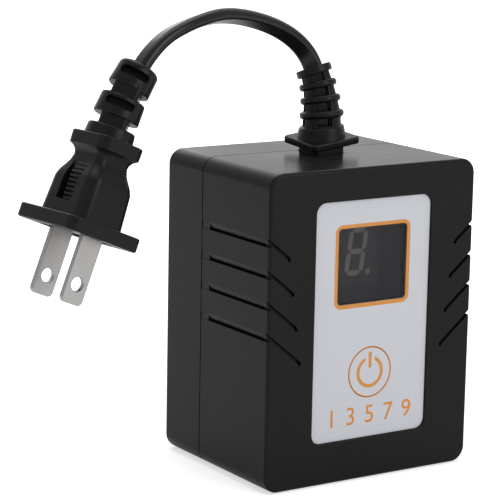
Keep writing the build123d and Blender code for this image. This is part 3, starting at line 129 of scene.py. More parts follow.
def turned(degrees: float, axis: Axis) -> Matrix:
    """Gives a turn about an axis through the origin."""
    return Matrix.Rotation(math.radians(degrees), 4, axis.name)


def in_scene(name: str, data: bpy.types.ID) -> bpy.types.Object:
    """Adds an object to the scene.

    Args:
        name: its name.
        data: its mesh, curve, camera or light.

    Returns:
        The object.
    """
    added = bpy.data.objects.new(name, data)
    bpy.context.scene.collection.objects.link(added)
    return added


class Piece:
    """One mesh on the bench, shaped by modelling operators, in millimetres."""

    smooth_angle = 35.0

    def __init__(self, name: str) -> None:
        """Takes the primitive that an operator has just added, and puts its place into its mesh.

        Args:
            name: name of the piece.
        """
        self.obj = bpy.context.active_object
        self.obj.name = name
        self.take()
        bpy.ops.object.transform_apply(location=True, rotation=True, scale=True)

    @classmethod
    def box(cls, name: str, low: Corner, high: Corner) -> "Piece":
        """Adds a box.

        Args:
            name: name of the piece.
            low: lowest corner.
            high: highest corner.

        Returns:
            The piece.
        """
        low, high = Vector(low), Vector(high)
        Piece.clear()
        bpy.ops.mesh.primitive_cube_add(size=1, location=(low + high) / 2, scale=high - low)
        return cls(name)

    @classmethod
    def block(cls, name: str, half_x: float, half_y: float, low: float, high: float) -> "Piece":
        """Adds a box that stands round the z axis, from its half sizes and its lowest and highest z."""
        return cls.box(name, (-half_x, -half_y, low), (half_x, half_y, high))

    @classmethod
    def rod(
        cls, name: str, radius: float, start: float, end: float, axis: Axis = Axis.Z,
        at: Pair = (0.0, 0.0), sides: int = 64, tip_radius: float | None = None
    ) -> "Piece":
        """Adds a round bar, or a tapered one.

        Args:
            name: name of the piece.
            radius: radius where the bar starts.
            start: where it starts along its axis.
            end: where it ends.
            axis: the axis that it lies along.
            at: its place on the other two axes, in their order.
            sides: number of flat sides.
            tip_radius: radius where it ends, the same if it isn't given.

        Returns:
            The piece.
        """
        tip = radius if tip_radius is None else tip_radius
        Piece.clear()
        bpy.ops.mesh.primitive_cone_add(vertices=sides, radius1=radius, radius2=tip, depth=end - start)
        middle = [at[0], at[1]]
        middle.insert(axis.value, (start + end) / 2)
        return cls(name).moved(Matrix.Translation(middle) @ axis.lay())

    @classmethod
    def plate(cls, name: str, outline: list[Pair], start: float, end: float) -> "Piece":
        """Makes a plate that stands across Y from a straight-sided outline.

        Args:
            name: name of the piece.
            outline: its corners as x and z, in order.
            start: its lowest y.
            end: its highest y.

        Returns:
            The piece.
        """
        Piece.clear()
        bpy.ops.mesh.primitive_circle_add(vertices=len(outline), fill_type="NGON")
        piece = cls(name)
        for vertex, (x, z) in zip(piece.obj.data.vertices, outline):
            vertex.co = (x, start, z)
        piece.edit()
        bpy.ops.mesh.select_all(action="SELECT")
        bpy.ops.mesh.extrude_region_move(TRANSFORM_OT_translate={"value": (0, end - start, 0)})
        return piece.face_outward()

    @staticmethod
    def clear() -> None:
        """Deselects every object."""
        bpy.ops.object.select_all(action="DESELECT")

    def take(self) -> None:
        """Makes this the only selected object and the active one."""
        Piece.clear()
        self.obj.select_set(True)
        bpy.context.view_layer.objects.active = self.obj

    def edit(self, kind: Pick = Pick.EDGE) -> "Piece":
        """Enters edit mode with nothing selected.

        Args:
            kind: what will be picked.

        Returns:
            The piece.
        """
        self.take()
        bpy.ops.object.mode_set(mode="EDIT")
        bpy.ops.mesh.select_mode(type=kind.name)
        bpy.ops.mesh.select_all(action="DESELECT")
        return self

    def leave(self) -> "Piece":
        """Leaves edit mode."""
        bpy.ops.object.mode_set(mode="OBJECT")
        return self

    def face_outward(self) -> "Piece":
        """Turns every face outward, in edit mode, and leaves it.

        Returns:
            The piece.
        """
        bpy.ops.mesh.select_all(action="SELECT")
        bpy.ops.mesh.normals_make_consistent(inside=False)
        return self.leave()

    def pick_edges(self, test: Callable[[Vector, Vector], bool]) -> "Piece":
        """Enters edit mode with some edges selected.

        Args:
            test: takes an edge's two ends and says whether it is selected.

        Returns:
            The piece.
        """
        mesh = self.edit().leave().obj.data
        for edge in mesh.edges:
            edge.select = test(*(mesh.vertices[i].co for i in edge.vertices))
        bpy.ops.object.mode_set(mode="EDIT")
        return self

    def pick_top(self, height: float) -> None:
        """Enters edit mode with the upward faces at a height selected.

        Args:
            height: their z.
        """
        upward = 0.9
        for face in self.edit(Pick.FACE).leave().obj.data.polygons:
            face.select = abs(face.center.z - height) < CLOSE and face.normal.z > upward
        bpy.ops.object.mode_set(mode="EDIT")

    def bevel(self, width: float, segments: int) -> "Piece":
        """Bevels what is selected in edit mode, and leaves it."""
        bpy.ops.mesh.bevel(offset=width, segments=segments, affect="EDGES", clamp_overlap=True)
        return self.leave()

    def round_along(self, axis: Axis, radius: float, segments: int = 8) -> "Piece":
        """Rounds the edges that run along an axis.

        Args:
            axis: that axis.
            radius: radius of the rounding.
            segments: number of steps in it.

        Returns:
            The piece.
        """
        others = [i for i in range(3) if i != axis.value]
        self.pick_edges(lambda a, b: all(abs(a[i] - b[i]) < CLOSE for i in others))
        return self.bevel(radius, segments)

    def round_rim(self, axis: Axis, places: list[float], width: float, segments: int = 4) -> "Piece":
        """Rounds the edges that lie in planes across an axis.

        Args:
            axis: the axis that the planes stand across.
            places: where they stand.
            width: width of the rounding.
            segments: number of steps in it.

        Returns:
            The piece.
        """
        i = axis.value
        self.pick_edges(lambda a, b: any(abs(a[i] - p) < CLOSE and abs(b[i] - p) < CLOSE for p in places))
        return self.bevel(width, segments)

    def apply(self, kind: str, **settings: object) -> "Piece":
        """Adds a modifier, sets it up and applies it.

        Args:
            kind: the modifier's type.
            **settings: its properties.

        Returns:
            The piece.
        """
        self.take()
        modifier = self.obj.modifiers.new(kind.lower(), kind)
        for name, value in settings.items():
            setattr(modifier, name, value)
        bpy.ops.object.modifier_apply(modifier=modifier.name)
        return self

    def combine(self, work: Work, tools: Iterable["Piece"]) -> "Piece":
        """Cuts tools from the piece or fuses them to it, and deletes them.

        Args:
            work: what they do to it.
            tools: the tools.

        Returns:
            The piece.
        """
        for tool in tools:
            self.apply("BOOLEAN", operation=work.name, solver="EXACT", object=tool.obj)
            bpy.data.objects.remove(tool.obj)
        return self

    def cut(self, *tools: "Piece") -> "Piece":
        """Cuts the tools from the piece."""
        return self.combine(Work.DIFFERENCE, tools)

    def fuse(self, *tools: "Piece") -> "Piece":
        """Fuses the tools to the piece."""
        return self.combine(Work.UNION, tools)

    def soften(self, width: float, segments: int = 2, angle: float = 40.0) -> "Piece":
        """Rounds every sharp edge.

        Args:
            width: width of the rounding.
            segments: number of steps in it.
            angle: edges sharper than this are rounded, in degrees.

        Returns:
            The piece.
        """
        return self.apply(
            "BEVEL", width=width, segments=segments, limit_method="ANGLE", angle_limit=math.radians(angle),
            miter_outer="MITER_ARC", use_clamp_overlap=True
        )

    def moved(self, matrix: Matrix) -> "Piece":
        """Moves the mesh itself by a matrix."""
        self.obj.data.transform(matrix)
        return self

    def copied(self, name: str, matrix: Matrix) -> "Piece":
        """Makes a copy with its own mesh.

        Args:
            name: name of the copy.
            matrix: how it is moved.

        Returns:
            The copy.
        """
        self.take()
        bpy.ops.object.duplicate(linked=False)
        return Piece(name).moved(matrix)

    def join(self, others: list["Piece"]) -> "Piece":
        """Takes other pieces into this one as they are.

        Args:
            others: the other pieces.

        Returns:
            The piece.
        """
        self.take()
        for other in others:
            other.obj.select_set(True)
        bpy.ops.object.join()
        return self

    def finish(self, finish: "Finish", slot: str, body: str = HOUSING, nodes: Iterable[str] = ()) -> "Piece":
        """Scales the piece to metres, shades it and hands it to the frame.

        Args:
            finish: the finish that covers it.
            slot: not used.
            body: the body that it rides on.
            nodes: nodes of the frame that it stands for.

        Returns:
            The piece.
        """
        self.moved(Matrix.Diagonal((MM, MM, MM, 1)))
        self.take()
        bpy.ops.object.shade_smooth_by_angle(angle=math.radians(self.smooth_angle))
        self.apply("WEIGHTED_NORMAL", keep_sharp=True)
        self.obj.data.materials.clear()
        self.obj.data.materials.append(finish.material())
        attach(self.obj, body)
        if nodes:
            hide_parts(*nodes)
        LOG.info("%s: %d faces", self.obj.name, len(self.obj.data.polygons))
        return self


class Wire:
    """A shader socket on which the arithmetic operators add maths nodes."""

    def __init__(self, desk: "ShaderDesk", socket: bpy.types.NodeSocket) -> None:
        """Wraps an output socket of a desk's node tree."""
        self.desk = desk
        self.socket = socket

    def math(self, operation: Maths, *others: "Wire | float") -> "Wire":
        """Adds a maths node with this socket as its first operand."""
        return self.desk.maths(operation, self, *others)

    def __add__(self, other: "Wire | float") -> "Wire":
        """Adds."""
        return self.math(Maths.ADD, other)

    def __sub__(self, other: "Wire | float") -> "Wire":
        """Subtracts."""
        return self.math(Maths.SUBTRACT, other)

    def __rsub__(self, other: float) -> "Wire":
        """Subtracts this from a number."""
        return self.desk.maths(Maths.SUBTRACT, other, self)

    def __mul__(self, other: "Wire | float") -> "Wire":
        """Multiplies."""
        return self.math(Maths.MULTIPLY, other)

    def __abs__(self) -> "Wire":
        """Drops the sign."""
        return self.math(Maths.ABSOLUTE)

    def most(self, other: "Wire | float") -> "Wire":
        """Gives the larger of two."""
        return self.math(Maths.MAXIMUM, other)

    def mapped(self, source: Pair, target: Pair, ramp: Ramp = Ramp.LINEAR) -> "Wire":
        """Maps one range onto another, and clamps.

        Args:
            source: where the range starts and ends.
            target: what those two become.
            ramp: how the value runs between them.

        Returns:
            The mapped value.
        """
        names = ("From Min", "From Max", "To Min", "To Max")
        sockets = {"Value": self, **dict(zip(names, (*source, *target)))}
        return self.desk.node("ShaderNodeMapRange", {"interpolation_type": ramp.name}, sockets, "Result")

    def under(self, limit: float, blur: float) -> "Wire":
        """Gives 1 below a limit and 0 above it, with a soft step between."""
        return self.mapped((limit - blur, limit + blur), (1.0, 0.0), Ramp.SMOOTHSTEP)

    def spread(self, low: float, high: float) -> "Wire":
        """Maps 0 to 1 onto another range, without clamping."""
        return self * (high - low) + low


class ShaderDesk:
    """The node tree of a material or of the world, and the moves that every finish needs."""

    grain_roughness = 0.55

    def __init__(self, owner: bpy.types.Material | bpy.types.World) -> None:
        """Empties the owner's node tree.

        Args:
            owner: the material or the world.
        """
        owner.use_nodes = True
        self.owner = owner
        self.tree = owner.node_tree
        self.tree.nodes.clear()

    def node(
        self, kind: str, settings: dict[str, object], sockets: dict[str | int, object], output: str | int = 0
    ) -> Wire:
        """Adds any node.

        Args:
            kind: the node's type.
            settings: its properties.
            sockets: the value or the link of each input.
            output: the output that is wanted.

        Returns:
            That output.
        """
        node = self.tree.nodes.new(kind)
        for name, value in settings.items():
            setattr(node, name, value)
        for name, value in sockets.items():
            if isinstance(value, Wire):
                self.tree.links.new(value.socket, node.inputs[name])
            else:
                node.inputs[name].default_value = value
        return Wire(self, node.outputs[output])

    def end(self, kind: str, shader: Wire) -> None:
        """Leads a shader to an output node of a kind."""
        output = self.tree.nodes.new(kind)
        self.tree.links.new(shader.socket, output.inputs["Surface"])

    def maths(self, operation: Maths, *operands: "Wire | float") -> Wire:
        """Adds a maths node."""
        return self.node("ShaderNodeMath", {"operation": operation.name}, dict(enumerate(operands)))

    def place(self) -> Wire:
        """Gives the point's place on the piece, in metres."""
        return self.node("ShaderNodeTexCoord", {}, {}, "Object")

    def millimetres(self) -> tuple[Wire, Wire, Wire]:
        """Splits the point's place on the piece.

        Returns:
            Its x, y and z in millimetres.
        """
        place = self.place()
        split = [self.node("ShaderNodeSeparateXYZ", {}, {0: place}, i) for i in range(3)]
        return tuple(part * (1 / MM) for part in split)

    def grain(
        self, per_mm: float, detail: float = 2.0, stretch: Corner = (1, 1, 1), turn: Corner = (0, 0, 0)
    ) -> Wire:
        """Gives a noise pattern from 0 to 1.

        Args:
            per_mm: how many patches lie on a millimetre.
            detail: number of finer layers.
            stretch: how much denser it is along each axis.
            turn: Euler angles of those axes.

        Returns:
            The pattern.
        """
        sockets = {"Vector": self.place(), "Rotation": turn, "Scale": tuple(1 / s for s in stretch)}
        place = self.node("ShaderNodeMapping", {"vector_type": "TEXTURE"}, sockets)
        roughness = self.grain_roughness
        sockets = {"Vector": place, "Scale": per_mm / MM, "Detail": detail, "Roughness": roughness}
        return self.node("ShaderNodeTexNoise", {}, sockets, "Fac")

    def blend(self, share: "Wire | float", first: "Wire | Corner", second: "Wire | Corner") -> Wire:
        """Mixes two colours.

        Args:
            share: the share of the second.
            first: a colour.
            second: another.

        Returns:
            The mixed colour.
        """
        first, second = (value if isinstance(value, Wire) else (*value, 1.0) for value in (first, second))
        # among the mixing node's sockets, inputs 6 and 7 and output 2 are the ones for colours
        return self.node("ShaderNodeMix", {"data_type": "RGBA"}, {0: share, 6: first, 7: second}, 2)

    def bump(self, height: Wire, depth_mm: float) -> Wire:
        """Turns a height from 0 to 1 into a normal."""
        sockets = {"Height": height, "Strength": 1.0, "Distance": depth_mm * MM}
        return self.node("ShaderNodeBump", {}, sockets)

    def surface(self, sockets: dict[str, object]) -> bpy.types.Material:
        """Ends the material in one Principled shader with these inputs."""
        self.end("ShaderNodeOutputMaterial", self.node("ShaderNodeBsdfPrincipled", {}, sockets))
        return self.owner


class Finish:
    """A finish that builds its material once."""

    built: dict["Finish", bpy.types.Material] = {}

    def material(self) -> bpy.types.Material:
        """Gives the material, made on first use.

        Returns:
            The material.
        """
        if self not in Finish.built:
            desk = ShaderDesk(bpy.data.materials.new(self.name))
            Finish.built[self] = desk.surface(self.sockets(desk))
        return Finish.built[self]

    def sockets(self, desk: ShaderDesk) -> dict[str, object]:
        """Gives the surface shader's inputs, built on a desk."""
        raise NotImplementedError


@dataclass(frozen=True)
class Moulding(Finish):
    """Moulded plastic or vinyl: a fine spark-eroded grain, shallow waves, flow marks and scuffs."""

    name: str
    colour: Corner
    roughness: float = 0.4
    uneven: float = 0.08
    grain_per_mm: float = 5.0
    grain_depth: float = 0.004
    cloud_per_mm: float = 0.05
    waves: float = 0.0
    waves_per_mm: float = 0.07
    scuff: float = 0.25
    scuff_per_mm: float = 0.9
    scuff_stretch: Corner = (0.25, 1.0, 1.6)
    scuff_floor: float = 0.62
    mottle: float = 0.2
    lift: float = 0.002
    specular: float = 0.14
    # y of the seam between the shells, where a painted black band stands in for the shade in the gap; then
    # the band's half width and blur
    seam_shade_y: float | None = None
    seam_shade_half: float = 0.18
    seam_shade_blur: float = 0.02

    def sockets(self, desk: ShaderDesk) -> dict[str, object]:
        """Gives the shader's inputs: cloudy colour, scuffed gloss, grain, and painted shade along the seam
        if there is one.

        Args:
            desk: the desk to build on.

        Returns:
            The inputs.
        """
        cloud = desk.grain(self.cloud_per_mm, 3.0)
        height = desk.grain(self.grain_per_mm, 3.0)
        if self.waves:
            height = height + desk.grain(self.waves_per_mm, 1.0) * (self.waves / self.grain_depth)
        worn = desk.grain(self.scuff_per_mm, 4.0, self.scuff_stretch)
        scratches = (worn - self.scuff_floor).most(0.0) * self.scuff
        lighter = tuple(min(1.0, c * (1 + self.mottle) + self.lift) for c in self.colour)
        colour = desk.blend(cloud, self.colour, lighter)
        roughness = cloud.spread(self.roughness - self.uneven, self.roughness + self.uneven) + scratches
        if self.seam_shade_y is not None:
            # painted shade: the band along the seam is painted black and made fully rough, for the shade
            # inside the gap between the shells
            gap = abs(desk.millimetres()[1] - self.seam_shade_y).under(self.seam_shade_half, self.seam_shade_blur)
            colour = desk.blend(gap, colour, (0.0, 0.0, 0.0))
            roughness = roughness.most(gap)
        return {
            "Base Color": colour,
            "Roughness": roughness,
            "Specular IOR Level": self.specular,
            "Normal": desk.bump(height, self.grain_depth),
        }


@dataclass(frozen=True)
class Metal(Finish):
    """Drawn or turned metal: fine streaks along one axis and a duller, darker tone in patches."""

    name: str
    colour: Corner
    roughness: float = 0.3
    polish: Pair = (0.08, 0.12)
    streaks: Corner = (12.0, 12.0, 0.6)
    streaks_per_mm: float = 1.2
    streak_depth: float = 0.004
    turn: Corner = (0.0, 0.0, 0.0)
    tarnish: float = 0.15
    tarnish_per_mm: float = 0.12

    def sockets(self, desk: ShaderDesk) -> dict[str, object]:
        """Gives the shader's inputs.

        Args:
            desk: the desk to build on.

        Returns:
            The inputs.
        """
        streak = desk.grain(self.streaks_per_mm, 3.0, self.streaks, self.turn)
        cloud = desk.grain(self.tarnish_per_mm, 3.0)
        dark = tuple(c * (1 - 2 * self.tarnish) for c in self.colour)
        return {
            "Base Color": desk.blend(cloud, dark, self.colour),
            "Metallic": 1.0,
            "Roughness": streak.spread(self.roughness - self.polish[0], self.roughness + self.polish[1]),
            "Normal": desk.bump(streak, self.streak_depth),
        }


@dataclass(frozen=True)
class SmokedPane(Finish):
    """Smoked clear plastic: a dark tint that what lies behind it shows through."""

    name: str = "smoked_pane"
    colour: Corner = (0.045, 0.043, 0.05)
    clearness: float = 0.7
    specular: float = 0.35
    dust_per_mm: float = 0.8
    dust_tone: float = 1.3
    roughness: Pair = (0.04, 0.1)

    def sockets(self, desk: ShaderDesk) -> dict[str, object]:
        """Gives the shader's inputs.

        Args:
            desk: the desk to build on.

        Returns:
            The inputs.
        """
        dust = desk.grain(self.dust_per_mm, 4.0)
        return {
            "Base Color": desk.blend(dust, self.colour, tuple(c * self.dust_tone for c in self.colour)),
            "Roughness": dust.spread(*self.roughness),
            "Specular IOR Level": self.specular,
            "Alpha": 1 - self.clearness,
        }


@dataclass(frozen=True)
class PrintedFilm(Finish):
    """White panel film with an orange frame round the window and a ringed power symbol."""

    name: str = "printed_film"
    colour: Corner = (0.64, 0.655, 0.7)
    ink: Corner = (0.69, 0.28, 0.045)
    cloud_per_mm: float = 0.04
    cloud_tone: float = 0.97
    roughness: Pair = (0.28, 0.36)
    sheen_per_mm: float = 2.0
    grain_per_mm: float = 6.0
    grain_depth: float = 0.0015
    blur: float = 0.05
    window_z: float = 56.55
    frame_half: Pair = (11.25, 10.4)
    frame_line: float = 0.53
    frame_radius: float = 1.65
    key_x: float = 0.1
    key_z: float = 28.2
    ring_radius: float = 6.6
    ring_line: float = 0.24
    power_radius: float = 3.72
    power_line: float = 0.47
    power_gap: float = 1.45
    bar_low: float = 29.3
    bar_high: float = 33.5

    def sockets(self, desk: ShaderDesk) -> dict[str, object]:
        """Gives the shader's inputs.

        Args:
            desk: the desk to build on.

        Returns:
            The inputs.
        """
        x, _, z = desk.millimetres()
        ink = self.frame_mask(x, z).most(self.key_mask(x, z))
        warm = tuple(c * self.cloud_tone for c in self.colour)
        paper = desk.blend(desk.grain(self.cloud_per_mm, 3.0), self.colour, warm)
        return {
            "Base Color": desk.blend(ink, paper, self.ink),
            "Roughness": desk.grain(self.sheen_per_mm, 3.0).spread(*self.roughness),
            "Normal": desk.bump(desk.grain(self.grain_per_mm, 2.0), self.grain_depth),
        }

    def frame_mask(self, x: Wire, z: Wire) -> Wire:
        """Masks the rounded frame round the window.

        Args:
            x: the point's x.
            z: its z.

        Returns:
            1 on the frame and 0 off it.
        """
        across = (abs(x) - (self.frame_half[0] - self.frame_radius)).most(0.0)
        along = (abs(z - self.window_z) - (self.frame_half[1] - self.frame_radius)).most(0.0)
        away = (across * across + along * along).math(Maths.SQRT) - self.frame_radius
        return abs(away).under(self.frame_line, self.blur)

    def key_mask(self, x: Wire, z: Wire) -> Wire:
        """Masks the thin circle and the power symbol in it.

        Args:
            x: the point's x.
            z: its z.

        Returns:
            1 on the print and 0 off it.
        """
        across = abs(x - self.key_x)
        height = z - self.key_z
        far = (across * across + height * height).math(Maths.SQRT)
        circle = abs(far - self.ring_radius).under(self.ring_line, self.blur)
        open_top = across.under(self.power_gap, self.blur) * (0 - height).under(0.0, self.blur)
        arc = abs(far - self.power_radius).under(self.power_line, self.blur) * (1 - open_top)
        middle = (self.bar_low + self.bar_high) / 2
        reach = (self.bar_high - self.bar_low) / 2
        bar = across.under(self.power_line, self.blur) * abs(z - middle).under(reach, self.blur)
        return circle.most(arc).most(bar)


SEAM_Y = node_box("front_shell")[1].y + SHELL_GAP / 2
# the housing plastic carries a painted black band of shade along the seam between the shells
BLACK_ABS = Moulding(
    "black_abs", (0.009, 0.009, 0.0092), roughness=0.25, uneven=0.06, waves=0.03, scuff=0.15, specular=0.115,
    seam_shade_y=SEAM_Y
)
BLACK_VINYL = Moulding(
    "black_vinyl", (0.006, 0.0056, 0.0057), roughness=0.33, grain_per_mm=7.0, grain_depth=0.006, mottle=0.3,
    specular=0.18
)
CORD_VINYL = Moulding("cord_vinyl", (0.006, 0.006, 0.0062), roughness=0.26, grain_depth=0.002, specular=0.3)
FILM = PrintedFilm()
INK = Moulding("orange_ink", (0.72, 0.28, 0.045), roughness=0.35, uneven=0.03, scuff=0.0, mottle=0.05)
SCREW_STEEL = Metal("screw_steel", (0.55, 0.55, 0.54), roughness=0.35, streaks=(3.0, 3.0, 3.0))


@dataclass
class Housing:
    """The two shells, their louvres, seats and wells, and the screws in the back."""

    grommet: "Grommet"
    wall: float = 2.0
    front_wall: float = 2.6
    rear_wall: float = 2.4
    corner: float = 4.0
    least_corner: float = 0.3
    front_rim: float = 0.9
    rear_rim: float = 1.4
    lip: float = 0.9
    lip_overlap: float = 0.5
    edge: float = 0.14
    panel_fit: float = 0.12
    window_ledge: float = 1.0
    window_corner: float = 0.6
    window_depth: float = 5.0
    key_well: Pair = (6.7, 2.7)
    key_way: Pair = (3.1, 8.0)
    neck_fit: float = 0.15
    neck_depth: float = 5.0
    louvre_top: float = 64.6
    louvre_pitch: float = 8.0
    louvres: int = 4
    louvre_height: float = 1.9
    louvre_depth: float = 0.6
    louvre_lead: float = 0.12
    lead_overlap: float = 0.1
    slit: float = 0.42
    slit_stop: float = 3.5
    front_slit_angle: float = 39.5
    front_slit_reach: float = 5.9
    front_slit_step: float = 1.25
    front_slit_rise: float = 0.6
    front_slit_width: float = 0.9
    front_slit_depth: float = 1.2
    front_slit_heel: float = 0.2
    tick: float = 0.6
    outlet_z: float = 44.0
    outlet_face: Pair = (30.0, 24.0)
    outlet_corner: float = 4.0
    outlet_sink: float = 0.6
    pole_spacing: float = 12.7
    slot: Corner = (2.2, 4.0, 7.2)
    screw_x: float = 26.2
    screw_inset: float = 6.8
    screw_sink: float = 7.0
    screw_radius: float = 2.5
    screw_fit: float = 0.2
    post_radius: float = 3.4
    post_inset: float = 1.0
    head_height: float = 1.8
    head_rim: float = 0.8
    cross: Pair = (1.4, 0.35)
    cross_span: Pair = (0.8, 3.0)
    shank: Corner = (1.3, 14.0, 0.2)

    def __post_init__(self) -> None:
        """Takes the outer sizes from the frame."""
        self.low, mouth = node_box("front_shell")
        start, self.high = node_box("rear_shell")
        self.mouth_y = mouth.y
        self.lip_y = start.y
        self.back_start_y = self.mouth_y + SHELL_GAP
        self.side = self.high.x
        self.top = self.high.z

    def make(self) -> None:
        """Makes both shells and the screws."""
        self.front_shell().finish(BLACK_ABS, "housing_plastic", nodes=["front_shell"])
        self.rear_shell().finish(BLACK_ABS, "housing_plastic", nodes=["rear_shell"])
        self.screws().finish(SCREW_STEEL, "screw_steel", nodes=["housing_screws"])

    def outline(self, name: str, y_from: float, y_to: float, inset: float = 0.0) -> Piece:
        """Makes a solid of the housing's outline between two depths.

        Args:
            name: name of the piece.
            y_from: its lowest y.
            y_to: its highest y.
            inset: how far it stays inside the outline.

        Returns:
            The piece.
        """
        radius = max(self.corner - inset, self.least_corner)
        low = (-self.side + inset, y_from, inset)
        high = (self.side - inset, y_to, self.top - inset)
        return Piece.box(name, low, high).round_along(Axis.Y, radius, segments=12)

    @staticmethod
    def seat(name: str, size: Pair, radius: float, middle_z: float, y_from: float, y_to: float) -> Piece:
        """Makes a rounded block that stands across Y, to cut a seat or a window.

        Args:
            name: name of the piece.
            size: its width and height.
            radius: radius of its corners.
            middle_z: height of its middle.
            y_from: its lowest y.
            y_to: its highest y.

        Returns:
            The piece.
        """
        half_x, half_z = size[0] / 2, size[1] / 2
        block = Piece.box(name, (-half_x, y_from, middle_z - half_z), (half_x, y_to, middle_z + half_z))
        return block.round_along(Axis.Y, radius, segments=6)

    def node_seat(
        self, name: str, node: str, grow: float, radius: float, y_from: float, y_to: float
    ) -> Piece:
        """Makes such a block after a node of the frame.

        Args:
            name: name of the piece.
            node: name of the node.
            grow: how much larger than the node it is on each side.
            radius: radius of its corners.
            y_from: its lowest y.
            y_to: its highest y.

        Returns:
            The piece.
        """
        low, high = node_box(node)
        size = (high.x - low.x + 2 * grow, high.z - low.z + 2 * grow)
        return self.seat(name, size, radius, (low.z + high.z) / 2, y_from, y_to)

    def front_shell(self) -> Piece:
        """Makes the front shell with the panel's seat, the louvres and their slits.

        Returns:
            The shell.
        """
        front = self.low.y
        shell = self.outline("front_case", front, self.mouth_y)
        shell.round_rim(Axis.Y, [front], self.front_rim, segments=5)
        shell.cut(self.outline("hollow", front + self.front_wall, self.mouth_y + OVER, self.wall))
        film_y, pane_y = (node_box(node)[1].y for node in ("panel_film", "display_window"))
        film_corner, way_end = FILM_CORNER + self.panel_fit, front + self.window_depth
        shell.cut(
            self.node_seat("panel_seat", "panel_film", self.panel_fit, film_corner, front - OVER, film_y),
            self.node_seat("window_seat", "display_window", 0.0, PANE_CORNER, front, pane_y),
            self.node_seat(
                "window_way", "display_window", -self.window_ledge, self.window_corner, front, way_end
            ),
        )
        key_low, key_high = node_box("key_pad")
        at = (0, (key_low.z + key_high.z) / 2)
        for name, (radius, depth) in (("key_well", self.key_well), ("key_way", self.key_way)):
            shell.cut(Piece.rod(name, radius, front, front + depth, Axis.Y, at))
        shell.cut(*self.louvre_tools(), *self.front_slit_tools())
        half = self.grommet.neck / 2 + self.neck_fit
        x, y = self.grommet.foot
        low = (x - half, y - half, self.top - self.neck_depth)
        shell.cut(Piece.box("grommet_way", low, (x + half, self.mouth_y + OVER, self.top + OVER)))
        return shell.soften(self.edge)

    def louvre_tools(self) -> list[Piece]:
        """Makes the tools that cut the side grooves and the slits at their lower edges.

        Returns:
            The tools, those of the left side first in each row.
        """
        tools = []
        rise = (self.louvre_height - self.slit) / self.louvre_depth * OVER
        front, start_y = self.low.y, self.mouth_y - self.slit_stop
        for i in range(self.louvres):
            low = self.louvre_top - i * self.louvre_pitch - self.louvre_height / 2
            high = low + self.louvre_height
            for side in SIDES:
                outer = side * (self.side + OVER)
                inner = side * (self.side - self.louvre_depth)
                groove = [(outer, high + rise), (inner, low + self.slit), (inner, low), (outer, low)]
                tools.append(Piece.plate("groove", groove, front - OVER, start_y))
                x_from, x_to = sorted((outer, side * (self.side - self.louvre_lead)))
                start = (x_from, start_y - self.lead_overlap, low)
                tools.append(Piece.box("lead", start, (x_to, self.mouth_y + OVER, high)))
                x_from, x_to = sorted((outer, side * (self.side - self.wall - OVER)))
                start = (x_from, front + self.front_wall, low)
                tools.append(Piece.box("slit", start, (x_to, start_y, low + self.slit)))
        return tools

    def front_slit_tools(self) -> list[Piece]:
        """Makes the tools that carry each louvre on across the front.

        Returns:
            The tools.
        """
        tools = []
        front = self.low.y
        angle = math.radians(self.front_slit_angle)
        half = self.front_slit_width / 2
        rise = half / math.cos(angle)
        for i in range(self.louvres):
            reach = self.front_slit_reach + i * self.front_slit_step
            start_z = self.louvre_top + self.front_slit_rise - i * self.louvre_pitch
            end_z = start_z - reach * math.tan(angle)
            outer_z = start_z + OVER * math.tan(angle)
            for side in SIDES:
                outer = side * (self.side + OVER)
                inner = side * (self.side - reach)
                near, far = inner + side * half, inner - side * half
                outline = [
                    (outer, outer_z + rise), (inner, end_z + rise), (far, end_z), (far, end_z - self.tick),
                    (near, end_z - self.tick), (near, end_z - rise * self.front_slit_heel),
                    (outer, outer_z - rise)
                ]
                tools.append(Piece.plate("front_slit", outline, front - OVER, front + self.front_slit_depth))
        return tools

    def rear_shell(self) -> Piece:
        """Makes the rear shell with the outlet's face, its slots and the screw wells.

        Returns:
            The shell.
        """
        back, start = self.high.y, self.back_start_y
        shell = self.outline("rear_case", start, back).round_rim(Axis.Y, [back], self.rear_rim, segments=6)
        shell.fuse(self.outline("lip", self.lip_y, start + self.lip_overlap, self.wall - self.lip))
        shell.cut(self.outline("hollow", self.lip_y - OVER, back - self.rear_wall, self.wall))
        floor = back - self.outlet_sink
        size, corner = self.outlet_face, self.outlet_corner
        shell.cut(self.seat("outlet_seat", size, corner, self.outlet_z, floor, back + OVER))
        wide, deep, tall = self.slot
        for side in SIDES:
            x = side * self.pole_spacing / 2
            low = (x - wide / 2, back - deep, self.outlet_z - tall / 2)
            high = (x + wide / 2, back + OVER, self.outlet_z + tall / 2)
            shell.cut(Piece.box("outlet_slot", low, high))
        well = self.screw_radius + self.screw_fit
        for at in self.screw_places():
            post_end = back - self.post_inset
            shell.fuse(Piece.rod("post", self.post_radius, start, post_end, Axis.Y, at, sides=32))
            shell.cut(Piece.rod("well", well, back - self.screw_sink, back + OVER, Axis.Y, at, sides=48))
        return shell.soften(self.edge)

    def screw_places(self) -> list[Pair]:
        """Gives the screws' x and z."""
        heights = (self.screw_inset, self.top - self.screw_inset)
        return [(side * self.screw_x, z) for side in SIDES for z in heights]

    def screws(self) -> Piece:
        """Makes the pan-head screws, seated at the bottom of their wells.

        Returns:
            The screws as one piece.
        """
        seat = self.high.y - self.screw_sink
        top = seat + self.head_height
        head = Piece.rod("housing_screws_dressed", self.screw_radius, seat, top, Axis.Y, sides=40)
        head.round_rim(Axis.Y, [top], self.head_rim, segments=4)
        low_y, high_y = (seat + depth for depth in self.cross_span)
        for x, z in (self.cross, reversed(self.cross)):
            head.cut(Piece.box("cross", (-x, low_y, -z), (x, high_y, z)))
        radius, length, overlap = self.shank
        head.fuse(Piece.rod("shank", radius, seat - length, seat + overlap, Axis.Y, sides=24))
        first, *others = (Matrix.Translation((x, 0, z)) for x, z in self.screw_places())
        copies = [head.copied("screw", place) for place in others]
        return head.moved(first).join(copies)


